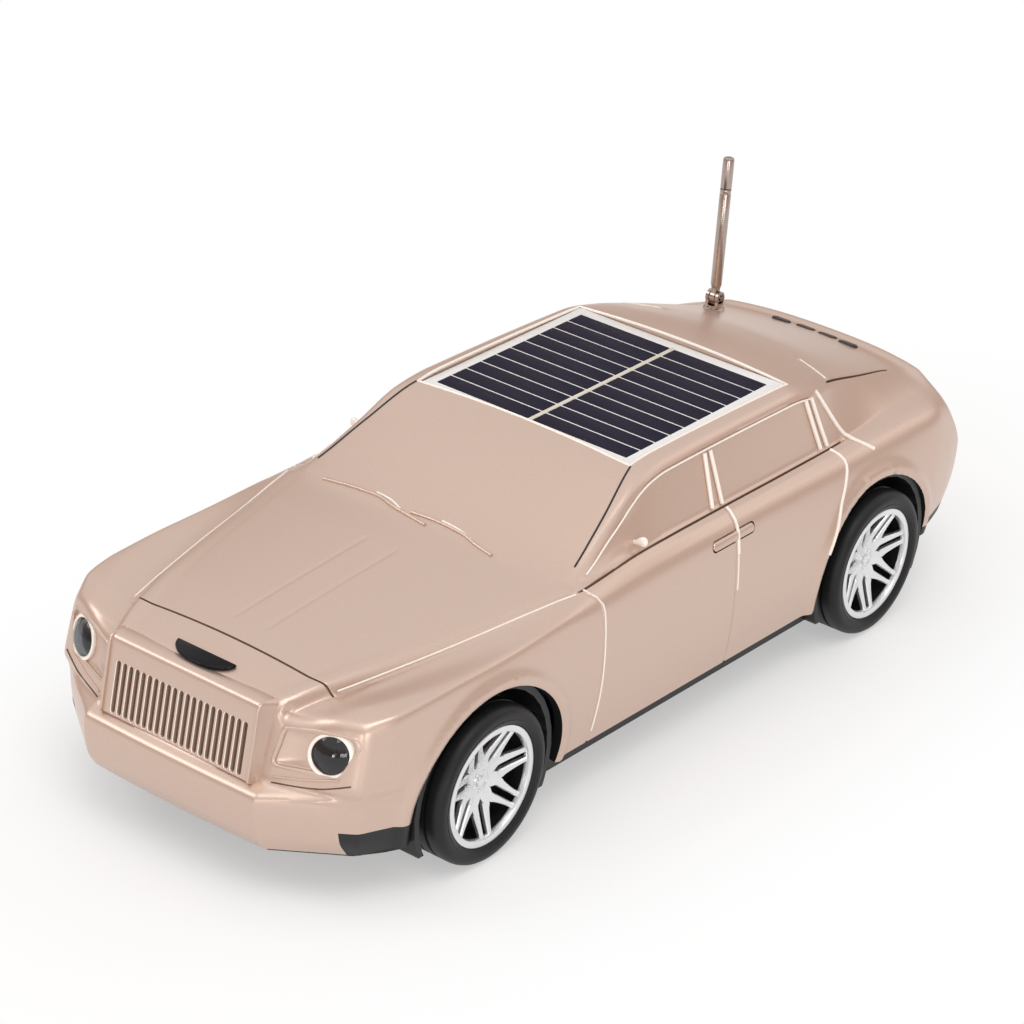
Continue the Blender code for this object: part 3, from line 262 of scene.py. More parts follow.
# Water clear epoxy of the lamp chip
LED = finish("epoxy_lamp_chip", ("#E8E6D8", "#F6F4EA"), 0.8, (0.5, 0.004, 0.2), (0.2, 0.3), Coat_Weight=0.5)
# Green solder mask
GREEN_BOARD = finish("green_solder_mask", ("#1F5A35", "#2A6B41"), 2.5, (0.5, 0.006, 0.3), (0.3, 0.42))
# Heat shrunk sleeve of the cell
SLEEVE = finish("shrink_sleeve_pvc", ("#2D5FA8", "#3A6DB5"), 4.0, (1.2, 0.01, 0.3), (0.22, 0.34))
# Pressed paper cone: fibrous and matt
PAPER = finish("pressed_paper_cone", ("#1D1C1B", "#2B2A28"), 0.9, (0.3, 0.05, 0.7), (0.8, 0.95))
# Sintered ferrite: dull dark grey
FERRITE = finish("sintered_ferrite", ("#2A2A2C", "#38383A"), 1.2, (0.3, 0.02, 0.5), (0.55, 0.7))
# Open cell foam ring
FOAM = finish("open_cell_foam", ("#232324", "#303031"), 0.6, (0.35, 0.12, 0.9), (0.9, 1.0))
# Silicone rubber keys: matt, near black
KEY_RUBBER = finish("silicone_key_rubber", ("#2A2422", "#352E2B"), 1.2, (0.4, 0.012, 0.4), (0.4, 0.52))

SLOT_FINISH = {
    "body_paint": PAINT, "black_plastic": BLACK, "gloss_black": GLOSS_BLACK, "tyre_rubber": RUBBER,
    "plated_rim": PLATED, "steel": STEEL, "brass": BRASS, "white_board": WHITE_BOARD, "solar_cell": SILICON,
    "clear_resin": LENS, "lamp_lens": LENS, "led": LED, "green_board": GREEN_BOARD, "battery_sleeve": SLEEVE,
    "speaker_paper": PAPER, "ferrite": FERRITE, "foam": FOAM, "button_rubber": KEY_RUBBER}


def spline(knots, at):
    """Monotone cubic through (place, value) knots, level beyond the ends."""
    t = np.array([k[0] for k in knots])
    v = np.array([k[1] for k in knots])
    secant = np.diff(v) / np.diff(t)
    slope = np.empty(len(t))
    slope[0] = secant[0]
    slope[-1] = secant[-1]
    for i in range(1, len(t) - 1):
        a, b = secant[i - 1], secant[i]
        slope[i] = 2 * a * b / (a + b) if a * b > 0 else 0.0
    at = np.clip(at, t[0], t[-1])
    i = np.clip(np.searchsorted(t, at) - 1, 0, len(t) - 2)
    h = t[i + 1] - t[i]
    u = (at - t[i]) / h
    return ((1 + 2 * u) * (1 - u) ** 2 * v[i] + u * (1 - u) ** 2 * h * slope[i]
            + u * u * (3 - 2 * u) * v[i + 1] + u * u * (u - 1) * h * slope[i + 1])


def point_on(line, along):
    """Half width and height of a character line at a place along the car."""
    return spline([k[:2] for k in line], along), spline([(k[0], k[2]) for k in line], along)


def smooth_step(value):
    """Smooth rise from zero to one."""
    share = np.clip(value, 0.0, 1.0)
    return share * share * (3 - 2 * share)


# Front face: bow and rake back of the bumper, and of the nose that takes over above it
BUMPER_SWEEP = (0.6, 0.75)
NOSE_SWEEP = (1.6, 0.36)
NOSE_FROM_Z = 23.0
NOSE_EASE = 3.0
# Rear face: how far its corners are drawn in at the bumper, and how much more at the deck
TAIL_CORNER = 4.6
DECK_CORNER = 4.0
DECK_CORNER_FROM_Z = 33.0
DECK_CORNER_EASE = 9.0


def front_y(x, z):
    """Place along the car of the front face at a half width and a height."""
    inner = np.minimum(x / CORNER_X, 1.0) ** 2
    outer = np.maximum(x - CORNER_X, 0.0)
    bumper, nose = [bow * inner + rake * outer for bow, rake in (BUMPER_SWEEP, NOSE_SWEEP)]
    above = np.clip((z - NOSE_FROM_Z) / NOSE_EASE, 0.0, 1.0)
    return spline(FRONT_PROFILE, z) + bumper + (nose - bumper) * above


def rear_y(x, z):
    """Place along the car of the rear face at a half width and a height."""
    rounding = TAIL_CORNER + DECK_CORNER * np.clip((z - DECK_CORNER_FROM_Z) / DECK_CORNER_EASE, 0.0, 1.0)
    return spline(REAR_PROFILE, z) - rounding * (x / TAIL_HALF) ** 3


def along_y(along, x, z):
    """The section near each end is drawn out to meet the curved front and rear faces."""
    front = (along - FRONT_BLEND_Y) / (NOSE_Y - FRONT_BLEND_Y)
    rear = (along - REAR_BLEND_Y) / (TAIL_Y - REAR_BLEND_Y)
    y = np.where(front > 0, FRONT_BLEND_Y + (front_y(x, z) - FRONT_BLEND_Y) * front, along)
    return np.where(rear > 0, REAR_BLEND_Y + (rear_y(x, z) - REAR_BLEND_Y) * rear, y)


# Columns of the body grid, close together where a groove or an edge runs
BONNET_GROOVE_X = 3.9
INNER_COLUMNS = (0.0, 1.3, 2.6, 3.2, 3.6, BONNET_GROOVE_X, 4.2, 4.6, 5.4)
EDGE_COLUMNS = (3.0, 1.6, 0.9, 0.55, 0.25, 0.0)
ROOF_COLUMNS = 11
BAND = (0.016, 0.034, 0.06, 0.1, 0.135, 0.16, 0.185, 0.25, 0.42, 0.58, 0.75, 0.88, 0.94, 0.966, 0.984, 1.0)
SHOULDER_KNOTS = (0.0, 0.05, 0.11, 0.2, 0.35, 0.5, 0.65, 0.8, 0.92, 1.0)
SHOULDER_COLUMNS = 24
shoulder_steps = np.linspace(0, len(SHOULDER_KNOTS) - 1, SHOULDER_COLUMNS + 1)[1:]
SHOULDER = np.interp(shoulder_steps, range(len(SHOULDER_KNOTS)), SHOULDER_KNOTS)
# Rows down the side as shares of its height: from, to and count, closest together along the bumper's ridge
ROW_RUNS = ((0.0, 0.42, 13), (0.42, 0.6, 14), (0.6, 1.0, 11))
ROWS = np.concatenate([np.linspace(*run)[1:] for run in ROW_RUNS])
UPPER_AT = len(INNER_COLUMNS) + ROOF_COLUMNS + len(EDGE_COLUMNS) - 1
BELT_AT = UPPER_AT + len(BAND)
CREST_AT = BELT_AT + len(SHOULDER)


def raw_section(along):
    """Half section as points from the centre line out to the crest, then down to the sill."""
    centre, upper, belt, crest, waist, sill = [point_on(line, along) for line in (
        CENTRE_LINE, UPPER_LINE, BELT_LINE, CREST_LINE, WAIST_LINE, SILL_LINE)]
    middle = np.linspace(INNER_COLUMNS[-1], upper[0] - EDGE_COLUMNS[0], ROOF_COLUMNS + 2)[1:-1]
    x = np.concatenate((INNER_COLUMNS, middle, upper[0] - np.array(EDGE_COLUMNS)))
    z = upper[1] + (centre[1] - upper[1]) * (1 - (x / upper[0]) ** 2)
    for start, end, shares in ((upper, belt, BAND), (belt, crest, SHOULDER)):
        x = np.concatenate((x, start[0] + (end[0] - start[0]) * np.array(shares)))
        z = np.concatenate((z, start[1] + (end[1] - start[1]) * np.array(shares)))
    down = crest[1] + (sill[1] - crest[1]) * ROWS
    (x0, z0), (x1, z1), (x2, z2) = crest, waist, sill
    out = (x0 * (down - z1) * (down - z2) / ((z0 - z1) * (z0 - z2))
           + x1 * (down - z0) * (down - z2) / ((z1 - z0) * (z1 - z2))
           + x2 * (down - z0) * (down - z1) / ((z2 - z0) * (z2 - z1)))
    return np.column_stack((np.concatenate((x, out)), np.concatenate((z, down))))


# Rounding of the section: at the roof edge and crest it grows over the roof and along the doors
ROOF_EDGE_ROUND = 1.0
ROOF_EDGE_MORE = 1.8
BELT_ROUND = 0.6
CREST_ROUND = 1.1
CREST_MORE = 2.4
ROUND_REACH = 1.7
LEAST_REACH = 1e-4
ROUNDED_FROM = 0.01
# Where the rounding grows: place along the car and length of the change
ROOF_ROUND_IN = (-14.0, 8.0)
ROOF_ROUND_OUT = (70.0, 12.0)
DOOR_ROUND_IN = (-50.0, 22.0)
ARC_SAMPLES = 3000
SECTION_COUNT = 440


def eased(along, place, length):
    """Zero before a place along the car and one from a length after it."""
    return smooth_step((along - place) / length)


def rounded_section(along):
    """The section with its three corners rounded by a moving average along its length."""
    raw = raw_section(along)
    length = np.concatenate(([0.0], np.cumsum(np.hypot(*np.diff(raw, axis=0).T))))
    roof = eased(along, *ROOF_ROUND_IN) * smooth_step((ROOF_ROUND_OUT[0] - along) / ROOF_ROUND_OUT[1])
    doors = eased(along, *DOOR_ROUND_IN)
    reach = np.zeros(len(raw))
    for corner, size in ((UPPER_AT, ROOF_EDGE_ROUND + ROOF_EDGE_MORE * roof), (BELT_AT, BELT_ROUND),
                         (CREST_AT, CREST_ROUND + CREST_MORE * doors)):
        away = np.abs(length - length[corner]) / size
        reach = np.maximum(reach, size * np.clip(ROUND_REACH - away, 0.0, 1.0))
    reach = np.maximum(np.minimum(reach, np.minimum(length, length[-1] - length)), LEAST_REACH)
    fine = np.linspace(0.0, length[-1], ARC_SAMPLES)
    made = []
    for column in range(2):
        values = np.interp(fine, length, raw[:, column])
        total = np.concatenate(([0.0], np.cumsum((values[1:] + values[:-1]) / 2 * np.diff(fine))))
        mean = (np.interp(length + reach, fine, total) - np.interp(length - reach, fine, total)) / (2 * reach)
        made.append(np.where(reach > ROUNDED_FROM, mean, raw[:, column]))
    return np.column_stack(made), length


SECTION_AT = np.linspace(NOSE_Y, TAIL_Y, SECTION_COUNT)
rounded = [rounded_section(at) for at in SECTION_AT]
SECTIONS = np.array([shape for shape, length in rounded])
SECTION_LENGTHS = np.array([length for shape, length in rounded])


def section_at(along):
    """Smooth half section of the body at a place along the car."""
    i = min(max(int(np.searchsorted(SECTION_AT, along)) - 1, 0), len(SECTION_AT) - 2)
    share = (along - SECTION_AT[i]) / (SECTION_AT[i + 1] - SECTION_AT[i])
    return SECTIONS[i] * (1 - share) + SECTIONS[i + 1] * share


def on_side(y, z, lift=0.0):
    """Point of the left side at a place along the car and a height."""
    outline = section_at(y)[UPPER_AT:]
    return Vector((float(np.interp(-z, -outline[:, 1], outline[:, 0])) + lift, y, z))


def on_top(x, y, lift=0.0):
    """Point of the bonnet, windscreen or roof over a place on the plan."""
    outline = section_at(y)[:UPPER_AT + 1]
    return Vector((x, y, float(np.interp(abs(x), outline[:, 0], outline[:, 1])) + lift))


def on_front(x, z, lift=0.0):
    """Point of the front face, lifted towards the front."""
    return Vector((x, float(front_y(abs(x), z)) - lift, z))


# Places along the car that need a finer grid: place, reach on each side, spacing
FINE_PLACES = [
    (NOSE_Y, 7.0, 0.75), (TAIL_Y, 7.0, 0.75), (BONNET_LINE_Y, 0.6, 0.2), (BOOT_LINE_Y, 0.8, 0.32),
    (DOOR_SEAMS[0][1], 0.8, 0.28), (DOOR_SEAMS[1][1], 0.8, 0.28), (COWL_Y + 1.0, 3.0, 0.8),
    (HEADER_Y, 3.0, 0.9), (-AXLE_Y, 24.0, 0.95), (AXLE_Y, 24.0, 0.95)]
WIDEST_STEP = 2.0
STEP_GROWTH = 0.4
STATION_SAMPLES = 9000


def station_list():
    """Places along the car of the grid's sections, closer together near the fine places."""
    fine = np.linspace(NOSE_Y, TAIL_Y, STATION_SAMPLES)
    step = np.full(fine.shape, WIDEST_STEP)
    for place, reach, size in FINE_PLACES:
        step = np.minimum(step, size + np.maximum(np.abs(fine - place) - reach, 0.0) * STEP_GROWTH)
    count = np.concatenate(([0.0], np.cumsum(np.diff(fine) / step[1:])))
    return np.interp(np.linspace(0.0, count[-1], int(count[-1]) + 1), count, fine)


def hat(distance, reach):
    """One at no distance, falling smoothly to zero at the reach."""
    return smooth_step(1.0 - np.abs(distance) / reach)


# How far from each shut line the grid bends to follow it, and the bow of the bonnet's line
DOOR_BEND_REACH = 12.0
BONNET_BEND_REACH = 9.0
BOOT_BEND_REACH = 13.0
BONNET_BOW = 1.2
BONNET_HALF = 23.7


def body_grid():
    """Left half of the skin: points, arc lengths and stations of the top and side as one grid."""
    stations = station_list()
    columns = SECTIONS.shape[1]
    along = np.repeat(stations[:, None], columns, axis=1)
    height = np.array([section_at(s)[:, 1] for s in stations])
    width = np.array([section_at(s)[:, 0] for s in stations])
    shift = np.zeros(along.shape)
    for line, station in DOOR_SEAMS:
        shift += hat(along - station, DOOR_BEND_REACH) * (spline(line, height) - station)
    bowed = np.minimum(width / BONNET_HALF, 1.0) ** 2
    shift += hat(along - BONNET_LINE_Y, BONNET_BEND_REACH) * -BONNET_BOW * bowed
    fade = np.interp(np.arange(columns), (UPPER_AT, BELT_AT), (1.0, 0.0))
    bowed = np.minimum(width / BOOT_HALF, 1.0) ** 2
    shift += hat(along - BOOT_LINE_Y, BOOT_BEND_REACH) * -BOOT_BOW * bowed * fade
    placed = along + shift
    points = np.empty(along.shape + (3,))
    arc = np.empty(along.shape)
    for c in range(columns):
        x = np.interp(placed[:, c], SECTION_AT, SECTIONS[:, c, 0])
        z = np.interp(placed[:, c], SECTION_AT, SECTIONS[:, c, 1])
        points[:, c] = np.column_stack((x, along_y(placed[:, c], x, z), z))
        arc[:, c] = np.interp(placed[:, c], SECTION_AT, SECTION_LENGTHS[:, c])
    return points, arc, along, placed


# Lip round the wheel arches: where it starts beyond the edge and how fast it rises, and its roll at the edge
ARCH_LIP_START = 3.6
ARCH_LIP_RISE = 2.4
ARCH_LIP_ROLL = 0.45
ARCH_LIP_ROLL_WIDTH = 0.8


def past_arch(y, z, arch):
    """Distance from the edge of a wheel arch, about in millimetres, less than zero inside it."""
    place, half = arch
    return (np.hypot((y - place) / half, (z - AXLE_Z) / ARCH_RISE) - 1.0) * ARCH_RISE


def arch_lip(y, z):
    """How far the skin stands out round the wheel arches."""
    rise = 0.0
    for arch in ARCHES:
        beyond = past_arch(y, z, arch)
        roll = ARCH_LIP_ROLL * smooth_step((ARCH_LIP_ROLL_WIDTH - beyond) / ARCH_LIP_ROLL_WIDTH)
        rise = rise + ARCH_LIP * (smooth_step((ARCH_LIP_START - beyond) / ARCH_LIP_RISE) - roll)
    return rise


def groove(distance, width):
    """Depth share of a round groove at a distance from its middle."""
    return np.clip(1.0 - (distance / (width / 2)) ** 2, 0.0, 1.0)


def span(value, low, high, edge=1.5):
    """One between low and high, falling to zero over a short edge outside them."""
    return smooth_step((value - low) / edge + 1.0) * smooth_step((high - value) / edge + 1.0)


# Window faces: sunk depth, edges below the roof and above the belt, front end and slanted rear end
FAR = 99.0
GLASS_SINK = 0.35
GLASS_BELOW_ROOF = 2.5
GLASS_ABOVE_BELT = 0.8
GLASS_FRONT_Y = -32.0
QUARTER_FOOT = (55.0, 57.5)
QUARTER_SLANT = 0.66
GLASS_EDGE = 0.5
GLASS_END_EDGE = 1.0
# Shut lines: width, depth and run of each
SEAM_WIDTH = 0.55
BELT_SEAM_DEPTH = 0.4
BELT_SEAM_RUN = (-34.0, 61.0, 2.0)
BONNET_SEAM_DEPTH = 0.3
BONNET_SEAM_RUN = (-FAR, 2.0, 0.3)
BONNET_GROOVE = (0.75, 0.12)
BONNET_GROOVE_RUN = (-88.0, -52.0, 3.0)
BOOT_GROOVE = (0.9, 0.45)
BOOT_GROOVE_RUN = (18.5, 27.4, 0.8)
DECK_SEAM_DEPTH = 0.5
DECK_SEAM_RUN = (64.3, 97.0)
DOOR_GROOVE = (0.7, 0.5)
DOOR_FOOT_Z = 10.5
DOOR_END_EDGE = 0.5
# Ridge inside the bonnet's edge: height, rise and fall measured from the belt, and run
RIDGE_HEIGHT = 0.38
RIDGE_RISE = (4.5, 3.3)
RIDGE_FALL = (0.6, 0.9)
RIDGE_RUN = (-112.0, -37.0, 2.0)
# Step outside it: width, level part and fade
STEP_WIDTH = 1.7
STEP_LEVEL = 3.0
STEP_FADE = 9.0


def groove_depths(points, arc, along, placed):
    """How far each point is sunk below the smooth form (mm), and how deep in a seam it lies (0 to 1)."""
    x, z = points[..., 0], points[..., 2]
    from_upper = arc - arc[:, UPPER_AT:UPPER_AT + 1]
    from_belt = arc - arc[:, BELT_AT:BELT_AT + 1]
    column = np.arange(points.shape[1])
    top = column <= CREST_AT
    below_belt = column > BELT_AT
    sunk = np.zeros(x.shape)
    seam = np.zeros(x.shape)

    # A press's dark share is how much painted seam shade its groove carries
    def press(shape, depth, dark=1.0):
        np.maximum(sunk, depth * shape, out=sunk)
        np.maximum(seam, dark * shape, out=seam)

    quarter = QUARTER_FOOT[0] + (QUARTER_FOOT[1] - z) * QUARTER_SLANT
    glass = span(from_upper, GLASS_BELOW_ROOF, FAR, GLASS_EDGE)
    glass = glass * span(from_belt, -FAR, -GLASS_ABOVE_BELT, GLASS_EDGE)
    glass = glass * span(placed, GLASS_FRONT_Y, quarter, GLASS_END_EDGE)
    press(glass, GLASS_SINK, 0.0)
    press(groove(from_belt, SEAM_WIDTH) * span(placed, *BELT_SEAM_RUN), BELT_SEAM_DEPTH)
    press(groove(along - BONNET_LINE_Y, SEAM_WIDTH) * span(from_belt, *BONNET_SEAM_RUN), BONNET_SEAM_DEPTH)
    width, depth = BONNET_GROOVE
    press(groove(x - BONNET_GROOVE_X, width) * span(placed, *BONNET_GROOVE_RUN) * top, depth, 0.0)
    width, depth = BOOT_GROOVE
    press(groove(along - BOOT_LINE_Y, width) * span(x, *BOOT_GROOVE_RUN) * top, depth, 0.0)
    press(groove(from_upper, SEAM_WIDTH) * span(placed, *DECK_SEAM_RUN), DECK_SEAM_DEPTH)
    width, depth = DOOR_GROOVE
    for line, station in DOOR_SEAMS:
        upright = span(z, DOOR_FOOT_Z, line[-1][0], DOOR_END_EDGE)
        press(groove(along - station, width) * upright * below_belt, depth, 0.0)
    risen = smooth_step((from_belt + RIDGE_RISE[0]) / RIDGE_RISE[1])
    fallen = smooth_step((from_belt + RIDGE_FALL[0]) / RIDGE_FALL[1])
    sunk -= RIDGE_HEIGHT * (risen * (1.0 - fallen)) * span(placed, *RIDGE_RUN) * (1.0 - seam)
    faded = smooth_step((from_belt - STEP_LEVEL) / STEP_FADE)
    step = smooth_step(from_belt / STEP_WIDTH) * (1.0 - faded) * below_belt
    sunk += np.interp(placed, *BONNET_STEP) * step
    sunk -= arch_lip(points[..., 1], z) * ~top
    return sunk, seam


SNAP_REACH = 3.0
TINY = 1e-6


def fit_arches(side):
    """Which faces of the side grid stay outside the arches; points next to a gap are moved onto the arch."""
    middle = (side[:-1, :-1] + side[1:, :-1] + side[:-1, 1:] + side[1:, 1:]) / 4
    keep = np.ones(middle.shape[:2], bool)
    for arch in ARCHES:
        keep &= past_arch(middle[..., 1], middle[..., 2], arch) > 0.0
    used = np.zeros(side.shape[:2], int)
    gone = np.zeros(side.shape[:2], int)
    for a in (0, 1):
        for b in (0, 1):
            used[a:a + keep.shape[0], b:b + keep.shape[1]] += keep
            gone[a:a + keep.shape[0], b:b + keep.shape[1]] += ~keep
    for arch in ARCHES:
        beyond = past_arch(side[..., 1], side[..., 2], arch)
        snap = (used > 0) & (gone > 0) & (np.abs(beyond) < SNAP_REACH)
        ratio = 1.0 / np.maximum(1.0 + beyond / ARCH_RISE, TINY)
        side[..., 1] = np.where(snap, arch[0] + (side[..., 1] - arch[0]) * ratio, side[..., 1])
        side[..., 2] = np.where(snap, AXLE_Z + (side[..., 2] - AXLE_Z) * ratio, side[..., 2])
    return keep


# Faces of the skin by what they belong to; the foot is the black lower edge round the tail
PAINTED, CHIN, FOOT = 0, 1, 2
FOOT_FROM_Y = 84.0
FOOT_ROWS = 2
# Front and rear faces: how their rows bend up to the top edge, and how soon the grooves fade on them
FACE_BEND = 3
GROOVE_FADE = 3.0
WELD = 0.02


def skin_mesh():
    """The whole outer skin as one mesh, with each point's sunk depth and seam and each face's tag."""
    points, arc, along, placed = body_grid()
    keep = fit_arches(points[:, CREST_AT:])
    sunk, seam = groove_depths(points, arc, along, placed)
    bm = bmesh.new()
    depth = bm.verts.layers.float.new("sunk")
    dark = bm.verts.layers.float.new("seam")
    tag = bm.faces.layers.int.new("tag")

    def add_grid(grid, depths, seams, keep=None, foot=False):
        verts = [[bm.verts.new(p) for p in row] for row in grid]
        for row, row_depths, row_seams in zip(verts, depths, seams):
            for v, d, n in zip(row, row_depths, row_seams):
                v[depth] = d
                v[dark] = n
        last = len(verts[0]) - 1
        for i in range(len(verts) - 1):
            for j in range(last):
                if keep is None or keep[i, j]:
                    face = bm.faces.new((verts[i][j], verts[i][j + 1], verts[i + 1][j + 1], verts[i + 1][j]))
                    low = foot and j >= last - FOOT_ROWS
                    face[tag] = FOOT if low and grid[i, j, 1] > FOOT_FROM_Y else PAINTED

    add_grid(points[:, :CREST_AT + 1], sunk[:, :CREST_AT + 1], seam[:, :CREST_AT + 1])
    add_grid(points[:, CREST_AT:], sunk[:, CREST_AT:], seam[:, CREST_AT:], keep, True)
    for row, face_y in ((0, front_y), (-1, rear_y)):
        top = points[row, :CREST_AT + 1]
        edge = points[row, CREST_AT:]
        share = (edge[:, 2] - edge[-1, 2]) / (edge[0, 2] - edge[-1, 2])
        x = top[:, None, 0] / top[-1, 0] * edge[None, :, 0]
        z = edge[None, :, 2] + (top[:, None, 2] - edge[0, 2]) * share[None, :] ** FACE_BEND
        face = np.stack((x, face_y(x, z), z), axis=2)
        faded = np.clip(1.0 - (edge[0, 2] - edge[None, :, 2]) / GROOVE_FADE, 0.0, 1.0)
        add_grid(face, sunk[row, :CREST_AT + 1, None] * faded, np.zeros(x.shape), None, True)
    bmesh.ops.delete(bm, geom=[v for v in bm.verts if not v.link_faces], context="VERTS")
    half = list(bm.verts) + list(bm.edges) + list(bm.faces)
    bmesh.ops.mirror(bm, geom=half, axis="X", merge_dist=0.0)
    bmesh.ops.remove_doubles(bm, verts=bm.verts, dist=WELD)
    bmesh.ops.recalc_face_normals(bm, faces=bm.faces)
    roof = max(bm.faces, key=lambda f: f.calc_center_median().z)
    if roof.normal.z < 0:
        bmesh.ops.reverse_faces(bm, faces=bm.faces)
    return bm, depth, dark, tag


# Rear end of the chin pieces, and how far round them the skin is cut
CHIN_BACK_Y = -80.0
CHIN_MARGIN_UP = 3.0
CHIN_MARGIN_IN = 4.0
CUT_SNAP = 0.01


def chin_faces(bm, margin_in, margin_up):
    """Faces of the front corners below the chin's top edge, with margins inwards and upwards."""
    found = []
    for f in bm.faces:
        middle = f.calc_center_median()
        low = middle.z < CHIN_TOP + margin_up
        if low and middle.y < CHIN_BACK_Y and abs(middle.x) > CHIN_INNER_X - margin_in:
            found.append(f)
    return found


def part_chin(bm, tag):
    """Cuts the skin along the edges of the two chin pieces and tags their faces."""
    for place, across in (((0.0, 0.0, CHIN_TOP), (0.0, 0.0, 1.0)),
                          ((CHIN_INNER_X, 0.0, 0.0), (1.0, 0.0, 0.0)),
                          ((-CHIN_INNER_X, 0.0, 0.0), (1.0, 0.0, 0.0))):
        faces = chin_faces(bm, CHIN_MARGIN_IN, CHIN_MARGIN_UP)
        verts = dict.fromkeys(v for f in faces for v in f.verts)
        edges = dict.fromkeys(e for f in faces for e in f.edges)
        bmesh.ops.bisect_plane(bm, geom=[*verts, *edges, *faces], dist=CUT_SNAP,
                               plane_co=place, plane_no=across)
    for f in chin_faces(bm, 0.0, 0.0):
        f[tag] = CHIN


# Rounding of the ends: lowest height, reach from the end faces, where it starts outwards and upwards
SOFT_FROM_Z = SILL_Z + 4.0
SOFT_REACH = 2.6
SOFT_OUTWARDS = (33.0, 3.0)
SOFT_UPWARDS = (38.0, 2.0)
SOFT_TURNS = 14
SOFT_STRENGTH = 0.6


def soften_ends(bm):
    """Rounds the edges of the front and rear faces by repeated averaging near them."""
    bm.verts.ensure_lookup_table()
    bm.verts.index_update()
    place = np.array([v.co for v in bm.verts])
    pairs = np.array([(e.verts[0].index, e.verts[1].index) for e in bm.edges])
    x, y, z = np.abs(place[:, 0]), place[:, 1], place[:, 2]
    gap = np.minimum(np.abs(y - front_y(x, z)), np.abs(y - rear_y(x, z)))
    inside = np.ones(len(place), bool)
    for e in bm.edges:
        if len(e.link_faces) == 1:
            for v in e.verts:
                inside[v.index] = False
    outer = np.maximum(eased(x, *SOFT_OUTWARDS), eased(z, *SOFT_UPWARDS))
    weight = np.exp(-(gap / SOFT_REACH) ** 2) * outer * (z > SOFT_FROM_Z) * inside
    count = np.zeros(len(place))
    for end in (0, 1):
        np.add.at(count, pairs[:, end], 1)
    for turn in range(SOFT_TURNS):
        total = np.zeros(place.shape)
        for end in (0, 1):
            np.add.at(total, pairs[:, end], place[pairs[:, 1 - end]])
        place += SOFT_STRENGTH * weight[:, None] * (total / count[:, None] - place)
    for v, p in zip(bm.verts, place):
        v.co = p


# Finishes of the bodywork by their place in the piece; the seam finish is painted shade
IN_PAINT, IN_SEAM, IN_BLACK = 0, 1, 2


def walled_mesh(depth, dark, tag, faces):
    """A closed wall from some faces of the skin: the sunk outer side, a smooth inner side and the rims."""
    out = bmesh.new()
    outer, inner = {}, {}
    for f in faces:
        for v in f.verts:
            if v not in outer:
                outer[v] = out.verts.new(v.co - v.normal * v[depth])
                inner[v] = out.verts.new(v.co - v.normal * (WALL + max(v[depth] - GROOVE_DEPTH, 0.0)))
    chosen = set(faces)
    hidden = 0 if faces[0][tag] == CHIN else IN_BLACK
    for f in faces:
        made = out.faces.new([outer[v] for v in f.verts])
        # Faces deep in a seam take the painted seam shade
        in_seam = sum(v[dark] for v in f.verts) / len(f.verts) > 0.5
        shown = IN_SEAM if in_seam else IN_PAINT
        made.material_index = IN_BLACK if f[tag] == FOOT else shown
        back = out.faces.new([inner[v] for v in reversed(f.verts)])
        back.material_index = hidden
    for f in faces:
        for loop in f.loops:
            if sum(1 for g in loop.edge.link_faces if g in chosen) == 1:
                a, b = loop.vert, loop.link_loop_next.vert
                rim = out.faces.new((outer[b], outer[a], inner[a], inner[b]))
                rim.material_index = hidden
    return out


SHARP_ANGLE = 38.0


def facing_out(bm):
    """Turns the faces of closed shapes outwards."""
    bmesh.ops.recalc_face_normals(bm, faces=bm.faces)
    return bm


def settled(name, bm, materials, sharp=SHARP_ANGLE):
    """A mesh in metres from a bmesh in millimetres, smooth with its sharp edges kept."""
    bmesh.ops.scale(bm, vec=(MM, MM, MM), verts=bm.verts)
    mesh = bpy.data.meshes.new(name)
    bm.to_mesh(mesh)
    bm.free()
    mesh.shade_smooth()
    mesh.set_sharp_from_angle(angle=math.radians(sharp))
    for material in materials:
        mesh.materials.append(material)
    made = bpy.data.objects.new(name, mesh)
    bpy.context.scene.collection.objects.link(made)
    return made


def dress(made, body, slot, *nodes):
    """Ties a finished piece to its body and hides the solids that it stands for; its slot is not used."""
    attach(made, body)
    if nodes:
        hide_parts(*nodes)


def piece(name, bm, materials, body, slot, *nodes, sharp=SHARP_ANGLE):
    """Makes a finished piece of closed shapes and ties it to its body, finish and solids."""
    dress(settled(name, facing_out(bm), materials, sharp), body, slot, *nodes)


def prism(bm, outline, low, high, matrix=Matrix.Identity(4)):
    """Closed prism of a flat outline between two heights, placed by a matrix."""
    foot = [bm.verts.new(matrix @ Vector((x, y, low))) for x, y in outline]
    head = [bm.verts.new(matrix @ Vector((x, y, high))) for x, y in outline]
    faces = [bm.faces.new(foot[::-1]), bm.faces.new(head)]
    for i in range(len(outline)):
        j = (i + 1) % len(outline)
        faces.append(bm.faces.new((foot[i], foot[j], head[j], head[i])))
    return faces


def rounded_outline(corners, radius, steps=6):
    """Outline with each corner of a convex polygon (counter-clockwise) turned into an arc."""
    made = []
    for i, corner in enumerate(corners):
        here = Vector(corner)
        before = Vector(corners[i - 1]) - here
        after = Vector(corners[(i + 1) % len(corners)]) - here
        before.normalize()
        after.normalize()
        half = before.angle(after) / 2
        middle = here + (before + after).normalized() * radius / math.sin(half)
        first = here + before * radius / math.tan(half) - middle
        last = here + after * radius / math.tan(half) - middle
        turn = math.atan2(first.x * last.y - first.y * last.x, first.dot(last))
        for k in range(steps + 1):
            spoke = Matrix.Rotation(turn * k / steps, 2) @ first
            made.append((middle.x + spoke.x, middle.y + spoke.y))
    return made


def block_outline(width, depth, centre=(0.0, 0.0), radius=0.6):
    """Rectangle with rounded corners."""
    x, y = centre
    corners = [(x - width / 2, y - depth / 2), (x + width / 2, y - depth / 2), (x + width / 2, y + depth / 2),
               (x - width / 2, y + depth / 2)]
    return rounded_outline(corners, radius)


# Half of the short flat left between two arcs of a round end
PILL_FLAT = 0.01
HANDLE_FLAT = 0.02


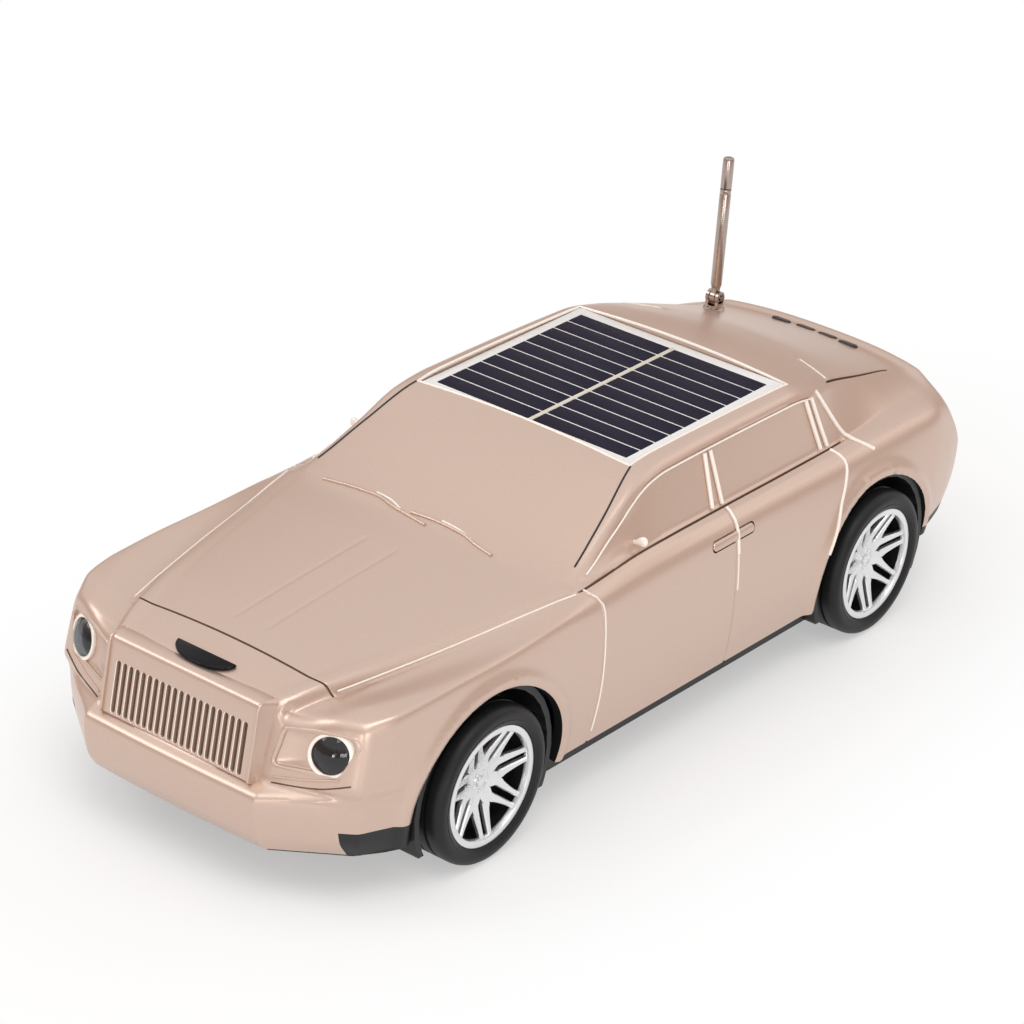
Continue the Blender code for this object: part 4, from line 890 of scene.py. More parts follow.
def pill_outline(width, depth, centre):
    """Rectangle with fully round ends."""
    return block_outline(width, depth, centre, depth / 2 - PILL_FLAT)


def drawn_in(outline, middle, inset):
    """Outline with each point moved towards a middle point."""
    made = []
    for p in outline:
        away = Vector(p) - middle
        made.append((p[0] - away.x / away.length * inset, p[1] - away.y / away.length * inset))
    return made


def placing(place, tilt=0.0):
    return Matrix.Translation(place) @ Matrix.Rotation(tilt, 4, "X")


PANEL_AT = placing(PANEL_PLACE, PANEL_TILT)
GRILLE_AT = placing(GRILLE_PLACE, GRILLE_TILT)
DECK_AT = placing(DECK_PLACE, DECK_SLOPE)
UPRIGHT = Matrix.Rotation(math.pi / 2, 4, "X")
SIDE_ON = Matrix(((0, 0, 1, 0), (1, 0, 0, 0), (0, 1, 0, 0), (0, 0, 0, 1)))
MIRROR = Matrix.Scale(-1.0, 4, (1.0, 0.0, 0.0))
SIDES = ((1, "left"), (-1, "right"))
# Lamp surround on the front face: corners as width and height, their radius, and the middle it is drawn in to
LAMP_SURROUND = [(21.9, 28.7), (34.4, 29.0), (36.9, 35.2), (36.0, 37.0), (23.1, 36.1)]
SURROUND_CORNER = 0.9
SURROUND_MIDDLE = Vector((29.6, 32.6))
SURROUND_POINTS = 72
HANDLE_AT = (13.75, 41.0)
HANDLE_SIZE = (15.3, 2.5)
HANDLE_GAP = 0.32
HANDLE_CORNER = 1.15
HANDLE_RECESS = 0.9


def evenly(points, count):
    """Points at equal steps along a closed outline."""
    ring = np.array(list(points) + [points[0]])
    length = np.concatenate(([0.0], np.cumsum(np.hypot(*np.diff(ring, axis=0).T))))
    steps = np.linspace(0.0, length[-1], count + 1)[:-1]
    return list(zip(np.interp(steps, length, ring[:, 0]), np.interp(steps, length, ring[:, 1])))


def circle(radius, count, centre=(0.0, 0.0)):
    """Points round a circle in a plane."""
    angles = [2 * math.pi * k / count for k in range(count)]
    return [(centre[0] + radius * math.cos(a), centre[1] + radius * math.sin(a)) for a in angles]


def lamp_outline(side, inset=0.0):
    """Outline of a lamp surround, drawn in by an inset, on the left (1) or right (-1)."""
    outline = evenly(rounded_outline(LAMP_SURROUND, SURROUND_CORNER), SURROUND_POINTS)
    return [(side * x, z) for x, z in drawn_in(outline, SURROUND_MIDDLE, inset)][::side]


# Openings of the body: size or radius of the cut, and how deep each cutter reaches along its own axis
PANEL_CUT = (-12.0, 8.0)
PANEL_CORNER = 0.5
GRILLE_WINDOW = (38.6, 14.4)
GRILLE_CUT = (-8.0, 8.0)
GRILLE_CORNER = 0.8
LAMP_INSET = 0.25
LAMP_CUT = (96.0, 112.0)
BUTTON_GAP = 0.12
BUTTON_CUT = (-5.0, 4.0)
AERIAL_HOLE = 2.1
HOLE_ROUND = 32
AERIAL_CUT = (40.0, 60.0)
# Holes in the tail: solid, how far it travels sideways
TAIL_HOLES = (("charge_socket", 0.0), ("power_slider", 2.0))
TAIL_GAP = 0.25
TAIL_CORNER_RADIUS = 0.5
TAIL_CUT = (-118.0, -100.0)
BEYOND_SIDE = 50.0


def body_openings():
    """One mesh of closed cutters for the openings of the body."""
    bm = bmesh.new()
    prism(bm, block_outline(PANEL + 2 * FIT, PANEL + 2 * FIT, radius=PANEL_CORNER), *PANEL_CUT, PANEL_AT)
    prism(bm, block_outline(*GRILLE_WINDOW, radius=GRILLE_CORNER), *GRILLE_CUT, GRILLE_AT @ UPRIGHT)
    for side in (1, -1):
        prism(bm, lamp_outline(side, LAMP_INSET), *LAMP_CUT, UPRIGHT)
    for centre in BUTTON_XY:
        prism(bm, pill_outline(*[v + 2 * BUTTON_GAP for v in BUTTON_SIZE], centre), *BUTTON_CUT, DECK_AT)
    prism(bm, circle(AERIAL_HOLE, HOLE_ROUND, AERIAL_PIVOT), *AERIAL_CUT)
    for node, travel in TAIL_HOLES:
        low, high = [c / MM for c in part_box(node)]
        size = (high.x - low.x + travel + 2 * TAIL_GAP, high.z - low.z + 2 * TAIL_GAP)
        centre = ((high.x + low.x + travel) / 2, (high.z + low.z) / 2)
        prism(bm, block_outline(*size, centre, TAIL_CORNER_RADIUS), *TAIL_CUT, UPRIGHT)
    # The handle cutters give their recesses the painted seam shade
    for hand in (SIDE_ON, MIRROR @ SIDE_ON):
        outline = block_outline(*HANDLE_SIZE, HANDLE_AT, HANDLE_CORNER)
        for f in prism(bm, outline, on_side(*HANDLE_AT).x - HANDLE_RECESS, BEYOND_SIDE, hand):
            f.material_index = IN_SEAM
    return settled("body_openings", facing_out(bm), ())


def cut_by(target, cutter):
    """Subtracts the cutter, keeps the result as the target's plain mesh and removes the cutter."""
    step = target.modifiers.new("Openings", "BOOLEAN")
    step.object = cutter
    step.operation = "DIFFERENCE"
    step.solver = "EXACT"
    bpy.context.view_layer.update()
    mesh = bpy.data.meshes.new_from_object(target.evaluated_get(bpy.context.evaluated_depsgraph_get()))
    target.modifiers.remove(step)
    target.data = mesh
    bpy.data.objects.remove(cutter)
    mesh.shade_smooth()
    mesh.set_sharp_from_angle(angle=math.radians(SHARP_ANGLE))


skin, SUNK, DARK, TAG = skin_mesh()
soften_ends(skin)
part_chin(skin, TAG)
skin.normal_update()
painted = [f for f in skin.faces if f[TAG] != CHIN]
body = settled("body_moulding", walled_mesh(SUNK, DARK, TAG, painted), (PAINT, PAINTED_SEAM_SHADE, BLACK))
cut_by(body, body_openings())
dress(body, "car", "body_paint", "body_shell")
for side, word in SIDES:
    corner = [f for f in skin.faces if f[TAG] == CHIN and f.calc_center_median().x * side > 0]
    chin = settled("bumper_corner_" + word, walled_mesh(SUNK, DARK, TAG, corner), (BLACK,))
    dress(chin, "car", "black_plastic", "chin_" + word)
skin.free()


def turned(bm, profile, matrix, steps=64, closed=True):
    """Lathe of (radius, height) points about the local Z axis; a point on the axis becomes one pole."""
    rings = []
    for radius, height in profile:
        points = circle(radius, steps) if radius > TINY else [(0.0, 0.0)]
        rings.append([bm.verts.new(matrix @ Vector((x, y, height))) for x, y in points])
    pairs = list(zip(rings, rings[1:]))
    if closed:
        pairs.append((rings[-1], rings[0]))
    for low, high in pairs:
        for k in range(steps):
            corners = [low[k % len(low)], low[(k + 1) % len(low)]]
            corners += [high[(k + 1) % len(high)], high[k % len(high)]]
            corners = [v for n, v in enumerate(corners) if v not in corners[:n]]
            if len(corners) > 2:
                bm.faces.new(corners)


def join_rings(bm, pairs):
    """Faces between each pair of rings of equal length, one list for each pair."""
    bands = []
    for low, high in pairs:
        after = [*range(1, len(low)), 0]
        bands.append([bm.faces.new((low[k], low[n], high[n], high[k])) for k, n in enumerate(after)])
    return bands


def loft(bm, loops, closed=False):
    """Skin between loops of equal length, joined end to end if closed, else capped; gives its bands."""
    rings = [[bm.verts.new(p) for p in loop] for loop in loops]
    pairs = list(zip(rings, rings[1:]))
    if closed:
        pairs.append((rings[-1], rings[0]))
    else:
        bm.faces.new(rings[0][::-1])
        bm.faces.new(rings[-1])
    return join_rings(bm, pairs)


def node_tree(name, sizes):
    """Empty geometry tree with named inputs, a shape to work on and a finish."""
    tree = bpy.data.node_groups.new(name, "GeometryNodeTree")
    for label, kind in (("Shape", "Geometry"), *sizes, ("Finish", "Material")):
        tree.interface.new_socket(label, in_out="INPUT", socket_type="NodeSocket" + kind)
    tree.interface.new_socket("Mesh", in_out="OUTPUT", socket_type="NodeSocketGeometry")
    return tree, add_node(tree, "NodeGroupInput").outputs


def end_tree(tree, entry, shape):
    """Ends a tree in one realized mesh with its finish."""
    real = add_node(tree, "GeometryNodeRealizeInstances", {"Geometry": shape})
    done = add_node(tree, "GeometryNodeSetMaterial", {"Geometry": real.outputs["Geometry"],
                                                      "Material": entry["Finish"]})
    add_node(tree, "NodeGroupOutput", {"Mesh": done.outputs["Geometry"]})
    return tree


def repeat_tree():
    """Node tree that repeats a shape by a step and a turn."""
    tree, entry = node_tree("repeat_shape", (("Count", "Int"), ("Step", "Vector"), ("Turn", "Vector")))
    row = add_node(tree, "GeometryNodeMeshLine", {"Count": entry["Count"], "Offset": entry["Step"]},
                   mode="OFFSET")
    number = add_node(tree, "GeometryNodeInputIndex")
    turn = add_node(tree, "ShaderNodeVectorMath", {0: entry["Turn"], "Scale": number.outputs["Index"]},
                    operation="SCALE")
    copies = add_node(tree, "GeometryNodeInstanceOnPoints", {
        "Points": row.outputs["Mesh"], "Instance": entry["Shape"], "Rotation": turn.outputs["Vector"]})
    return end_tree(tree, entry, copies.outputs["Instances"])


def bead_tree():
    """Node tree that turns a path of edges into a round bead with closed ends."""
    tree, entry = node_tree("bead_on_path", (("Radius", "Float"), ("Sides", "Int")))
    line = add_node(tree, "GeometryNodeMeshToCurve", {"Mesh": entry["Shape"]})
    ring = add_node(tree, "GeometryNodeCurvePrimitiveCircle", {"Resolution": entry["Sides"],
                                                               "Radius": entry["Radius"]})
    bead = add_node(tree, "GeometryNodeCurveToMesh", {
        "Curve": line.outputs["Curve"], "Profile Curve": ring.outputs["Curve"], "Fill Caps": True})
    return end_tree(tree, entry, bead.outputs["Mesh"])


REPEAT = repeat_tree()
BEAD = bead_tree()


def grown(bm, shape, tree, matrix=Matrix.Identity(4), **values):
    """Runs a node tree on a shape and adds the plain mesh that it gives to a bmesh."""
    mesh = bpy.data.meshes.new("shape")
    shape.to_mesh(mesh)
    shape.free()
    holder = bpy.data.objects.new("shape", mesh)
    bpy.context.scene.collection.objects.link(holder)
    step = holder.modifiers.new("Grow", "NODES")
    step.node_group = tree
    for socket in tree.interface.items_tree:
        if socket.name in values:
            step[socket.identifier] = values[socket.name]
    bpy.context.view_layer.update()
    copies = bpy.data.meshes.new_from_object(holder.evaluated_get(bpy.context.evaluated_depsgraph_get()))
    holder.modifiers.remove(step)
    bpy.data.objects.remove(holder)
    copies.transform(matrix)
    bm.from_mesh(copies)
    bpy.data.meshes.remove(copies)


def beads(bm, paths, radius, material, closed=False, sides=10, index=0):
    """Adds a round bead along each path of points, with the number of its finish in the piece."""
    shape = bmesh.new()
    before = len(bm.faces)
    for points in paths:
        verts = [shape.verts.new(p) for p in points]
        for a, b in zip(verts, verts[1:]):
            shape.edges.new((a, b))
        if closed:
            shape.edges.new((verts[-1], verts[0]))
    grown(bm, shape, BEAD, Radius=radius, Sides=sides, Finish=material)
    bm.faces.ensure_lookup_table()
    for f in bm.faces[before:]:
        f.material_index = index


def mirrored(points):
    return [MIRROR @ p for p in points]


# Fine trim on the skin: height and place along the car of each rib
PILLAR_RIBS = [[(46.5, 12.1), (57.4, 13.0)], [(46.4, 15.7), (57.4, 15.0)], [(46.0, 53.5), (57.0, 51.0)],
               [(45.9, 56.1), (56.8, 53.5)], [(42.7, 68.3), (46.0, 63.6), (52.0, 59.6), (57.2, 56.2)]]
RIB_RADIUS = 0.48
DOOR_EDGE_RADIUS = 0.4
FINE_EDGE_RADIUS = 0.2
DOOR_EDGE_POINTS = 22
# Painted highlight lines beside the shut lines: line, lowest height and distance behind it
DOOR_EDGES = ((DOOR_REAR_LINE, 37.0, 0.5), (REAR_DOOR_LINE, 26.0, 0.0))
FINE_DOOR_EDGES = ((DOOR_REAR_LINE, 29.0, 0.5), (DOOR_FRONT_LINE, 14.5, 0.5))
# Edge over the windows: distance below the roof's edge and run along the car; then runs at boot and bonnet
WINDOW_EDGE_BELOW = 2.4
WINDOW_EDGE_RUN = (-30.5, 53.0, 60)
BOOT_EDGE_RUN = (19.0, BOOT_HALF, 12)
BONNET_EDGE_RUN = (-93.5, -36.0, 42)
# Wiper blades and the arms on them: plan places on the foot of the windscreen
WIPERS = [[(-27.2, -37.1), (-20.0, -37.0), (-12.7, -37.1), (-8.0, -38.2), (2.0, -39.6)],
          [(-2.9, -38.0), (4.0, -37.6), (10.5, -37.8), (14.0, -38.6), (19.0, -39.3)]]
WIPER_ARMS = [[(-13.4, -36.4), (-9.5, -36.9), (-5.6, -38.3)], [(4.4, -37.0), (8.6, -37.2), (12.6, -38.0)]]
WIPER_RADIUS = 0.42
WIPER_POINTS = 18
ARM_RADIUS = 0.26
ARM_POINTS = 8
# Painted shade line beside the windscreen: place along the car and half width, up the left edge
SCREEN_SHADE_LINE = [(-31.4, 33.8), (-20.0, 31.4), (-7.2, 28.2)]
SCREEN_SHADE_RADIUS = 0.21
SCREEN_SHADE_POINTS = 20
# Rolled lip round the panel's seat, in the painted highlight
SEAT_LIP_RADIUS = 0.34
SEAT_LIP_OUTSIDE = 0.2
SEAT_LIP_SINK = 0.1
SEAT_LIP_STEPS = 16
# Painted shade line and pale ridge under the lamp: width and height on the front face, radius, finish
BUMPER_STRIPS = (([(22.6, 25.4), (27.0, 25.5), (31.0, 26.0), (34.5, 27.0), (37.0, 27.9)], 0.15, PAINTED_SEAM_SHADE),
                 ([(22.6, 26.4), (28.0, 27.1), (34.6, 28.5)], 0.24, PAINT))
STRIP_POINTS = 16


def run_of(knots, place, count=14):
    """Points along a line of knots (height or width first), each set on the skin by place."""
    first = np.linspace(knots[0][0], knots[-1][0], count)
    return [place(v, float(spline(knots, v))) for v in first]


def side_point(z, y):
    return on_side(y, z)


def screen_shade_point(y, x):
    return on_top(x, y)


def under_roof(y):
    """Point of the left side a little below the upper line, measured down the section."""
    outline = section_at(y)[UPPER_AT:]
    length = np.concatenate(([0.0], np.cumsum(np.hypot(*np.diff(outline, axis=0).T))))
    x, z = [float(np.interp(WINDOW_EDGE_BELOW, length, outline[:, axis])) for axis in (0, 1)]
    return Vector((x, y, z))


def bonnet_edge(y):
    """Point just outside the crease of the bonnet, part of the way down its step."""
    x, z = section_at(y)[BELT_AT + BEAD_COLUMNS]
    return Vector((x, y, z - BEAD_DROP * float(np.interp(y, *BONNET_STEP))))


def boot_edge(x):
    """Point on the bowed line in front of the boot."""
    return on_top(x, BOOT_LINE_Y - BOOT_BOW * (x / BOOT_HALF) ** 2)


def door_edge(line, low, behind):
    """Points beside a shut line, from a height up to the belt."""
    knots = [(z, y + behind) for z, y in line]
    made = []
    for z in np.linspace(low, line[-1][0], DOOR_EDGE_POINTS):
        y = float(spline(knots, z))
        made.append(on_side(y, z, float(arch_lip(y, z))))
    return made


def panel_seat():
    """Points of the roof round the panel's opening."""
    half = PANEL / 2 + FIT + SEAT_LIP_OUTSIDE
    corners = [(-half, -half), (half, -half), (half, half), (-half, half)]
    made = []
    for (x0, y0), (x1, y1) in zip(corners, corners[1:] + corners[:1]):
        for share in np.linspace(0.0, 1.0, SEAT_LIP_STEPS + 1)[:-1]:
            along = PANEL_PLACE[1] + y0 + (y1 - y0) * share
            made.append(on_top(x0 + (x1 - x0) * share, along, -SEAT_LIP_SINK))
    return made


side_ribs = [run_of(rib, side_point) for rib in PILLAR_RIBS]
side_edges = [door_edge(*edge) for edge in DOOR_EDGES]
fine_edges = [door_edge(*edge) for edge in FINE_DOOR_EDGES]
for place, run in ((under_roof, WINDOW_EDGE_RUN), (boot_edge, BOOT_EDGE_RUN), (bonnet_edge, BONNET_EDGE_RUN)):
    fine_edges.append([place(v) for v in np.linspace(*run)])
HANDS = (("left", list), ("right", mirrored))
# Ribs and edge lines are all drawn in the painted highlight
for word, hand in HANDS:
    bm = bmesh.new()
    for paths, radius in ((side_ribs, RIB_RADIUS), (side_edges, DOOR_EDGE_RADIUS),
                          (fine_edges, FINE_EDGE_RADIUS)):
        beads(bm, [hand(path) for path in paths], radius, PAINTED_HIGHLIGHT)
    piece("pillar_ribs_" + word, bm, (PAINTED_HIGHLIGHT,), "car", "body_paint")
bm = bmesh.new()
beads(bm, [run_of(knots, on_top, WIPER_POINTS) for knots in WIPERS], WIPER_RADIUS, PAINT)
# Wiper arms take the painted highlight
beads(bm, [run_of(knots, on_top, ARM_POINTS) for knots in WIPER_ARMS], ARM_RADIUS, PAINTED_HIGHLIGHT, index=1)
piece("wiper_blades", bm, (PAINT, PAINTED_HIGHLIGHT), "car", "body_paint")
bm = bmesh.new()
# A black bead stands for the shade in the step at each pillar
screen_shade = run_of(SCREEN_SHADE_LINE, screen_shade_point, SCREEN_SHADE_POINTS)
beads(bm, [screen_shade, mirrored(screen_shade)], SCREEN_SHADE_RADIUS, BLACK)
piece("windscreen_shade_line", bm, (BLACK,), "car", "black_plastic")
bm = bmesh.new()
beads(bm, [panel_seat()], SEAT_LIP_RADIUS, PAINTED_HIGHLIGHT, True)
piece("panel_lip", bm, (PAINTED_HIGHLIGHT,), "car", "body_paint")
bm = bmesh.new()
for index, (knots, radius, material) in enumerate(BUMPER_STRIPS):
    strip = run_of(knots, on_front, STRIP_POINTS)
    beads(bm, [strip, mirrored(strip)], radius, material, index=index)
piece("bumper_strips", bm, (PAINTED_SEAM_SHADE, PAINT), "car", "body_paint")

# Door handles: inset and rise of each loop; mirror stubs: half width, half sizes along and up, and rise
HANDLE_STEPS = ((0.0, -0.85), (0.0, 0.02), (0.14, 0.22), (0.4, 0.32))
MIRROR_AT = (-14.75, 48.0)
MIRROR_STEPS = ((35.4, 0.4, 0.45, 0.0), (36.5, 0.45, 0.5, 0.3), (37.2, 0.6, 0.8, 0.7), (37.9, 0.7, 1.05, 0.9),
                (38.6, 0.7, 1.05, 0.95), (39.0, 0.55, 0.8, 0.95), (39.2, 0.25, 0.4, 0.95))
MIRROR_ROUND = 16
MIRROR_SHARP = 50.0


def handle_loop(inset, rise):
    size = [v - 2 * HANDLE_GAP - 2 * inset for v in HANDLE_SIZE]
    return [on_side(y, z, rise) for y, z in block_outline(*size, HANDLE_AT, size[1] / 2 - HANDLE_FLAT)]


def mirror_loop(x, half_y, half_z, rise):
    y, z = MIRROR_AT
    return [Vector((x, y + half_y * across, z + rise + half_z * up))
            for across, up in circle(1.0, MIRROR_ROUND)]


for word, hand in HANDS:
    bm = bmesh.new()
    loft(bm, [hand(handle_loop(*step)) for step in HANDLE_STEPS])
    piece("door_handle_" + word, bm, (PAINT,), "car", "body_paint")
    # Mirror stubs are drawn all in the painted highlight
    bm = bmesh.new()
    loft(bm, [hand(mirror_loop(*step)) for step in MIRROR_STEPS])
    piece("door_mirror_" + word, bm, (PAINTED_HIGHLIGHT,), "car", "body_paint", sharp=MIRROR_SHARP)

# Wheels: profiles as radius and height over the rim's outer face
ROLL_RADIUS = AXLE_Z
TREAD_GROOVES = (-3.4, -6.2, -9.0)
TREAD_FLOOR = 16.2
GROOVE_TOP = 0.4
GROOVE_FOOT = 0.28
WEB_FRONT = -5.2
TYRE_PROFILE = [(RIM_RADIUS + 0.05, -0.15), (RIM_RADIUS + 0.5, 0.2), (13.9, 0.42), (14.1, 0.34), (14.3, 0.44),
                (15.2, 0.45), (15.9, 0.22), (16.35, -0.3), (ROLL_RADIUS - 0.08, -1.0), (ROLL_RADIUS, -1.6)]
for groove_z in TREAD_GROOVES:
    TYRE_PROFILE += [(ROLL_RADIUS, groove_z + GROOVE_TOP), (TREAD_FLOOR, groove_z + GROOVE_FOOT),
                     (TREAD_FLOOR, groove_z - GROOVE_FOOT), (ROLL_RADIUS, groove_z - GROOVE_TOP)]
TYRE_PROFILE += [(ROLL_RADIUS, -10.8), (ROLL_RADIUS - 0.08, -11.4), (16.2, -12.0), (15.2, -12.2),
                 (12.2, -12.2), (11.9, -11.6), (11.9, -7.0), (3.45, -7.0), (3.45, WEB_FRONT),
                 (11.8, WEB_FRONT), (11.8, -1.6), (RIM_RADIUS + 0.05, -1.3)]
RIM_PROFILE = [(RIM_RADIUS, -1.1), (RIM_RADIUS, -0.35), (12.75, -0.1), (12.5, 0.0), (11.8, 0.0),
               (11.5, -0.12), (11.35, -0.45), (11.3, -1.3), (11.9, -1.45)]
HUB_PROFILE = [(0.0, -2.5), (0.9, -2.5), (1.2, -2.65), (1.3, -3.15), (2.2, -3.2), (2.9, -3.1), (3.2, -3.25),
               (3.4, -3.7), (3.4, -13.6), (1.6, -13.6), (1.6, WEB_FRONT), (0.0, WEB_FRONT)]
LUG_PROFILE = [(0.0, 0.25), (0.22, 0.25), (0.34, 0.1), (0.36, -0.4), (0.0, -0.4)]
LUG_COUNT = 5
LUG_AT = (2.1, 0.0, -3.15)
RIM_SHARP = 30.0
# Points round each turned shape
TYRE_ROUND = 112
RIM_ROUND = 96
HUB_ROUND = 48
LUG_ROUND = 10
# Spokes: reach from the hub to the ring, height at the hub, rise to the ring and how it bends
SPOKE_FROM = 2.4
SPOKE_TO = 11.75
SPOKE_STEPS = 20
SPOKE_FOOT = -3.1
SPOKE_RISE = 2.75
SPOKE_BEND = 1.25
SPOKE_DEPTH = 1.0
SPOKE_DRAFT = 0.05
# Slot of a spoke pair: where it opens, over what length, and its half width
SPLIT_FROM = 3.6
SPLIT_EASE = 1.6
SPLIT_HALF = 0.7
# Prongs: where they leave the web, how sharply, half width of the pair at the ring, and their bevel
FORK_FROM = 5.5
FORK_BEND = 1.7
FORK_EASE = 0.15
PRONG_OUTER = 1.72
PRONG_BEVEL = 0.2
BEVEL_DROP = 0.3


def prong_edge(radius):
    """Section across a prong at a radius: distance from the middle of its pair, height below its top."""
    opened = smooth_step((radius - SPLIT_FROM) / SPLIT_EASE)
    slot = SPLIT_HALF * opened
    fork = np.clip((radius - FORK_FROM) / (SPOKE_TO - FORK_FROM), 0.0, 1.0)
    web = min(radius, FORK_FROM) * math.tan(math.pi / SPOKE_PAIRS)
    outer = PRONG_OUTER + (web - PRONG_OUTER) * (1.0 - fork) ** FORK_BEND
    left_web = smooth_step(fork / FORK_EASE)
    return [(slot - SPOKE_DRAFT, -SPOKE_DEPTH), (slot, -BEVEL_DROP * opened),
            (slot + PRONG_BEVEL * opened, 0.0), (outer - PRONG_BEVEL * left_web, 0.0),
            (outer, -BEVEL_DROP * left_web), (outer + SPOKE_DRAFT, -SPOKE_DEPTH)]


def spoke_pair():
    """Two flat prongs beside a narrow slot; near the hub they widen to meet the next pair in a web."""
    bm = bmesh.new()
    for side in (-1, 1):
        loops = []
        for radius in np.linspace(SPOKE_FROM, SPOKE_TO, SPOKE_STEPS):
            share = (radius - SPOKE_FROM) / (SPOKE_TO - SPOKE_FROM)
            top = SPOKE_FOOT + SPOKE_RISE * share ** SPOKE_BEND
            loops.append([(radius, side * w, top + h) for w, h in prong_edge(radius)])
        loft(bm, loops)
    return facing_out(bm)


def wheel_lug():
    """One of the small nuts round the hub."""
    bm = bmesh.new()
    turned(bm, LUG_PROFILE, Matrix.Translation(LUG_AT), LUG_ROUND, False)
    return facing_out(bm)


def wheel_at(end, side):
    place = Matrix.Translation((side * RIM_FACE, end * AXLE_Y, AXLE_Z))
    return place @ Matrix.Rotation(side * math.pi / 2, 4, "Y")


for end, end_word in ((-1, "front"), (1, "rear")):
    for side, side_word in SIDES:
        word = "%s_%s" % (end_word, side_word)
        wheels = end_word + "_wheels"
        at = wheel_at(end, side)
        bm = bmesh.new()
        turned(bm, TYRE_PROFILE, at, TYRE_ROUND)
        piece("road_tyre_" + word, bm, (RUBBER,), wheels, "tyre_rubber", "tyre_" + word)
        bm = bmesh.new()
        turned(bm, RIM_PROFILE, at, RIM_ROUND)
        turned(bm, HUB_PROFILE, at, HUB_ROUND, False)
        for shape, count in ((spoke_pair(), SPOKE_PAIRS), (wheel_lug(), LUG_COUNT)):
            grown(bm, shape, REPEAT, at, Count=count, Turn=(0.0, 0.0, 2 * math.pi / count), Finish=PLATED)
        piece("spoked_rim_" + word, bm, (PLATED,), wheels, "plated_rim", "rim_" + word, sharp=RIM_SHARP)

# Grille: the slotted front of the nose, rolled over at the top and ridged down both sides
SLOT_HALF = 0.47
SLOT_HEIGHT = 10.8
SLOT_MIDDLE = -1.3
SLOT_SINK = 0.65
SLOT_END_STEPS = 6
# Points of a cell's border that go with those of a round end, as shares of half a pitch
CELL_BORDER = (1.0, 1.0, 0.5, 0.0, -0.5, -1.0, -1.0)
# Loops of a slot: wider than it by, sunk by; and between which depths its pale edge and its dark floor lie
SLOT_STEPS = ((0.18, 0.0), (0.06, 0.1), (0.0, 0.3), (-0.06, SLOT_SINK))
# The pale edge is a painted highlight and the dark floor is painted shade
SLOT_EDGE = (0.02, 0.09)
SLOT_FLOOR = (0.5, SLOT_SINK + 0.1)
PLATE_HALF = 18.8
PLATE_LOW = -7.1
PLATE_HIGH = 5.8
PLATE_Y = -0.6
BLOCK_BACK = 4.0
# Places that the plate's upper, lower and side edges are drawn out through: back and up, or out and back
TOP_ROLL = ((-0.62, 7.6), (-0.52, 8.2), (-0.2, 8.7), (0.35, 9.0), (1.2, 9.2), (2.2, 9.33), (3.4, 9.35),
            (BLOCK_BACK, 9.1))
FOOT_ROLL = ((-0.45, -7.3), (0.2, -7.5), (BLOCK_BACK, -7.6))
SIDE_RIDGE = ((0.06, -0.42), (0.18, -0.55), (0.46, -0.55), (0.6, -0.42), (0.72, 0.1), (1.5, 2.6),
              (2.4, BLOCK_BACK + 0.6))
NEAR_EDGE = 0.01
PLATE_WELD = 0.005
GRILLE_SHARP = 32.0
# Finishes of the grille by their place in the piece: paint, painted seam shade and painted highlight
ON_PLATE, ON_FLOOR, ON_EDGE = 0, 1, 2
CELLS_HALF = SLOT_PITCH * SLOT_COUNT / 2


def slot_cell():
    """One pitch of the grille plate with its sunk slot, round at both ends."""
    bm = bmesh.new()
    straight = SLOT_HEIGHT / 2 - SLOT_HALF

    def stadium(wider, sink):
        half = SLOT_HALF + wider
        loop = []
        for sign, start in ((1, 0.0), (-1, math.pi)):
            for k in range(SLOT_END_STEPS + 1):
                angle = start + math.pi * k / SLOT_END_STEPS
                loop.append((half * math.cos(angle), PLATE_Y + sink,
                             SLOT_MIDDLE + sign * straight + half * math.sin(angle)))
        return loop

    border = []
    for sign, edge in ((1, PLATE_HIGH), (-1, PLATE_LOW)):
        for k, share in enumerate(CELL_BORDER):
            z = SLOT_MIDDLE + sign * straight if k in (0, SLOT_END_STEPS) else edge
            border.append((sign * share * SLOT_PITCH / 2, PLATE_Y, z))
    loops = [border] + [stadium(*step) for step in SLOT_STEPS]
    rings = [[bm.verts.new(p) for p in loop] for loop in loops]
    join_rings(bm, zip(rings, rings[1:]))
    bm.faces.new(rings[-1])
    return bm


def drawn_out(bm, picked, moves):
    """Draws the picked open edges out through a list of moves, each a function of a point."""
    edges = [e for e in bm.edges if e.is_boundary and all(picked(v.co) for v in e.verts)]
    start = {}
    for move in moves:
        made = bmesh.ops.extrude_edge_only(bm, edges=edges)["geom"]
        old = dict.fromkeys(v for e in edges for v in e.verts)
        edges = [g for g in made if isinstance(g, bmesh.types.BMEdge)]
        for v in dict.fromkeys(v for e in edges for v in e.verts):
            source = min(old, key=lambda o: (o.co - v.co).length)
            start[v] = start.get(source, source.co.copy())
            v.co = move(start[v])


def rolled_to(steps):
    """Moves that carry an edge through places back and up."""
    return [lambda p, m=m: Vector((p.x, *m)) for m in steps]


def ridged_to(side, steps):
    """Moves that carry a side edge through places outwards and back."""
    return [lambda p, m=m: Vector((p.x + side * m[0], p.y + m[1], p.z)) for m in steps]


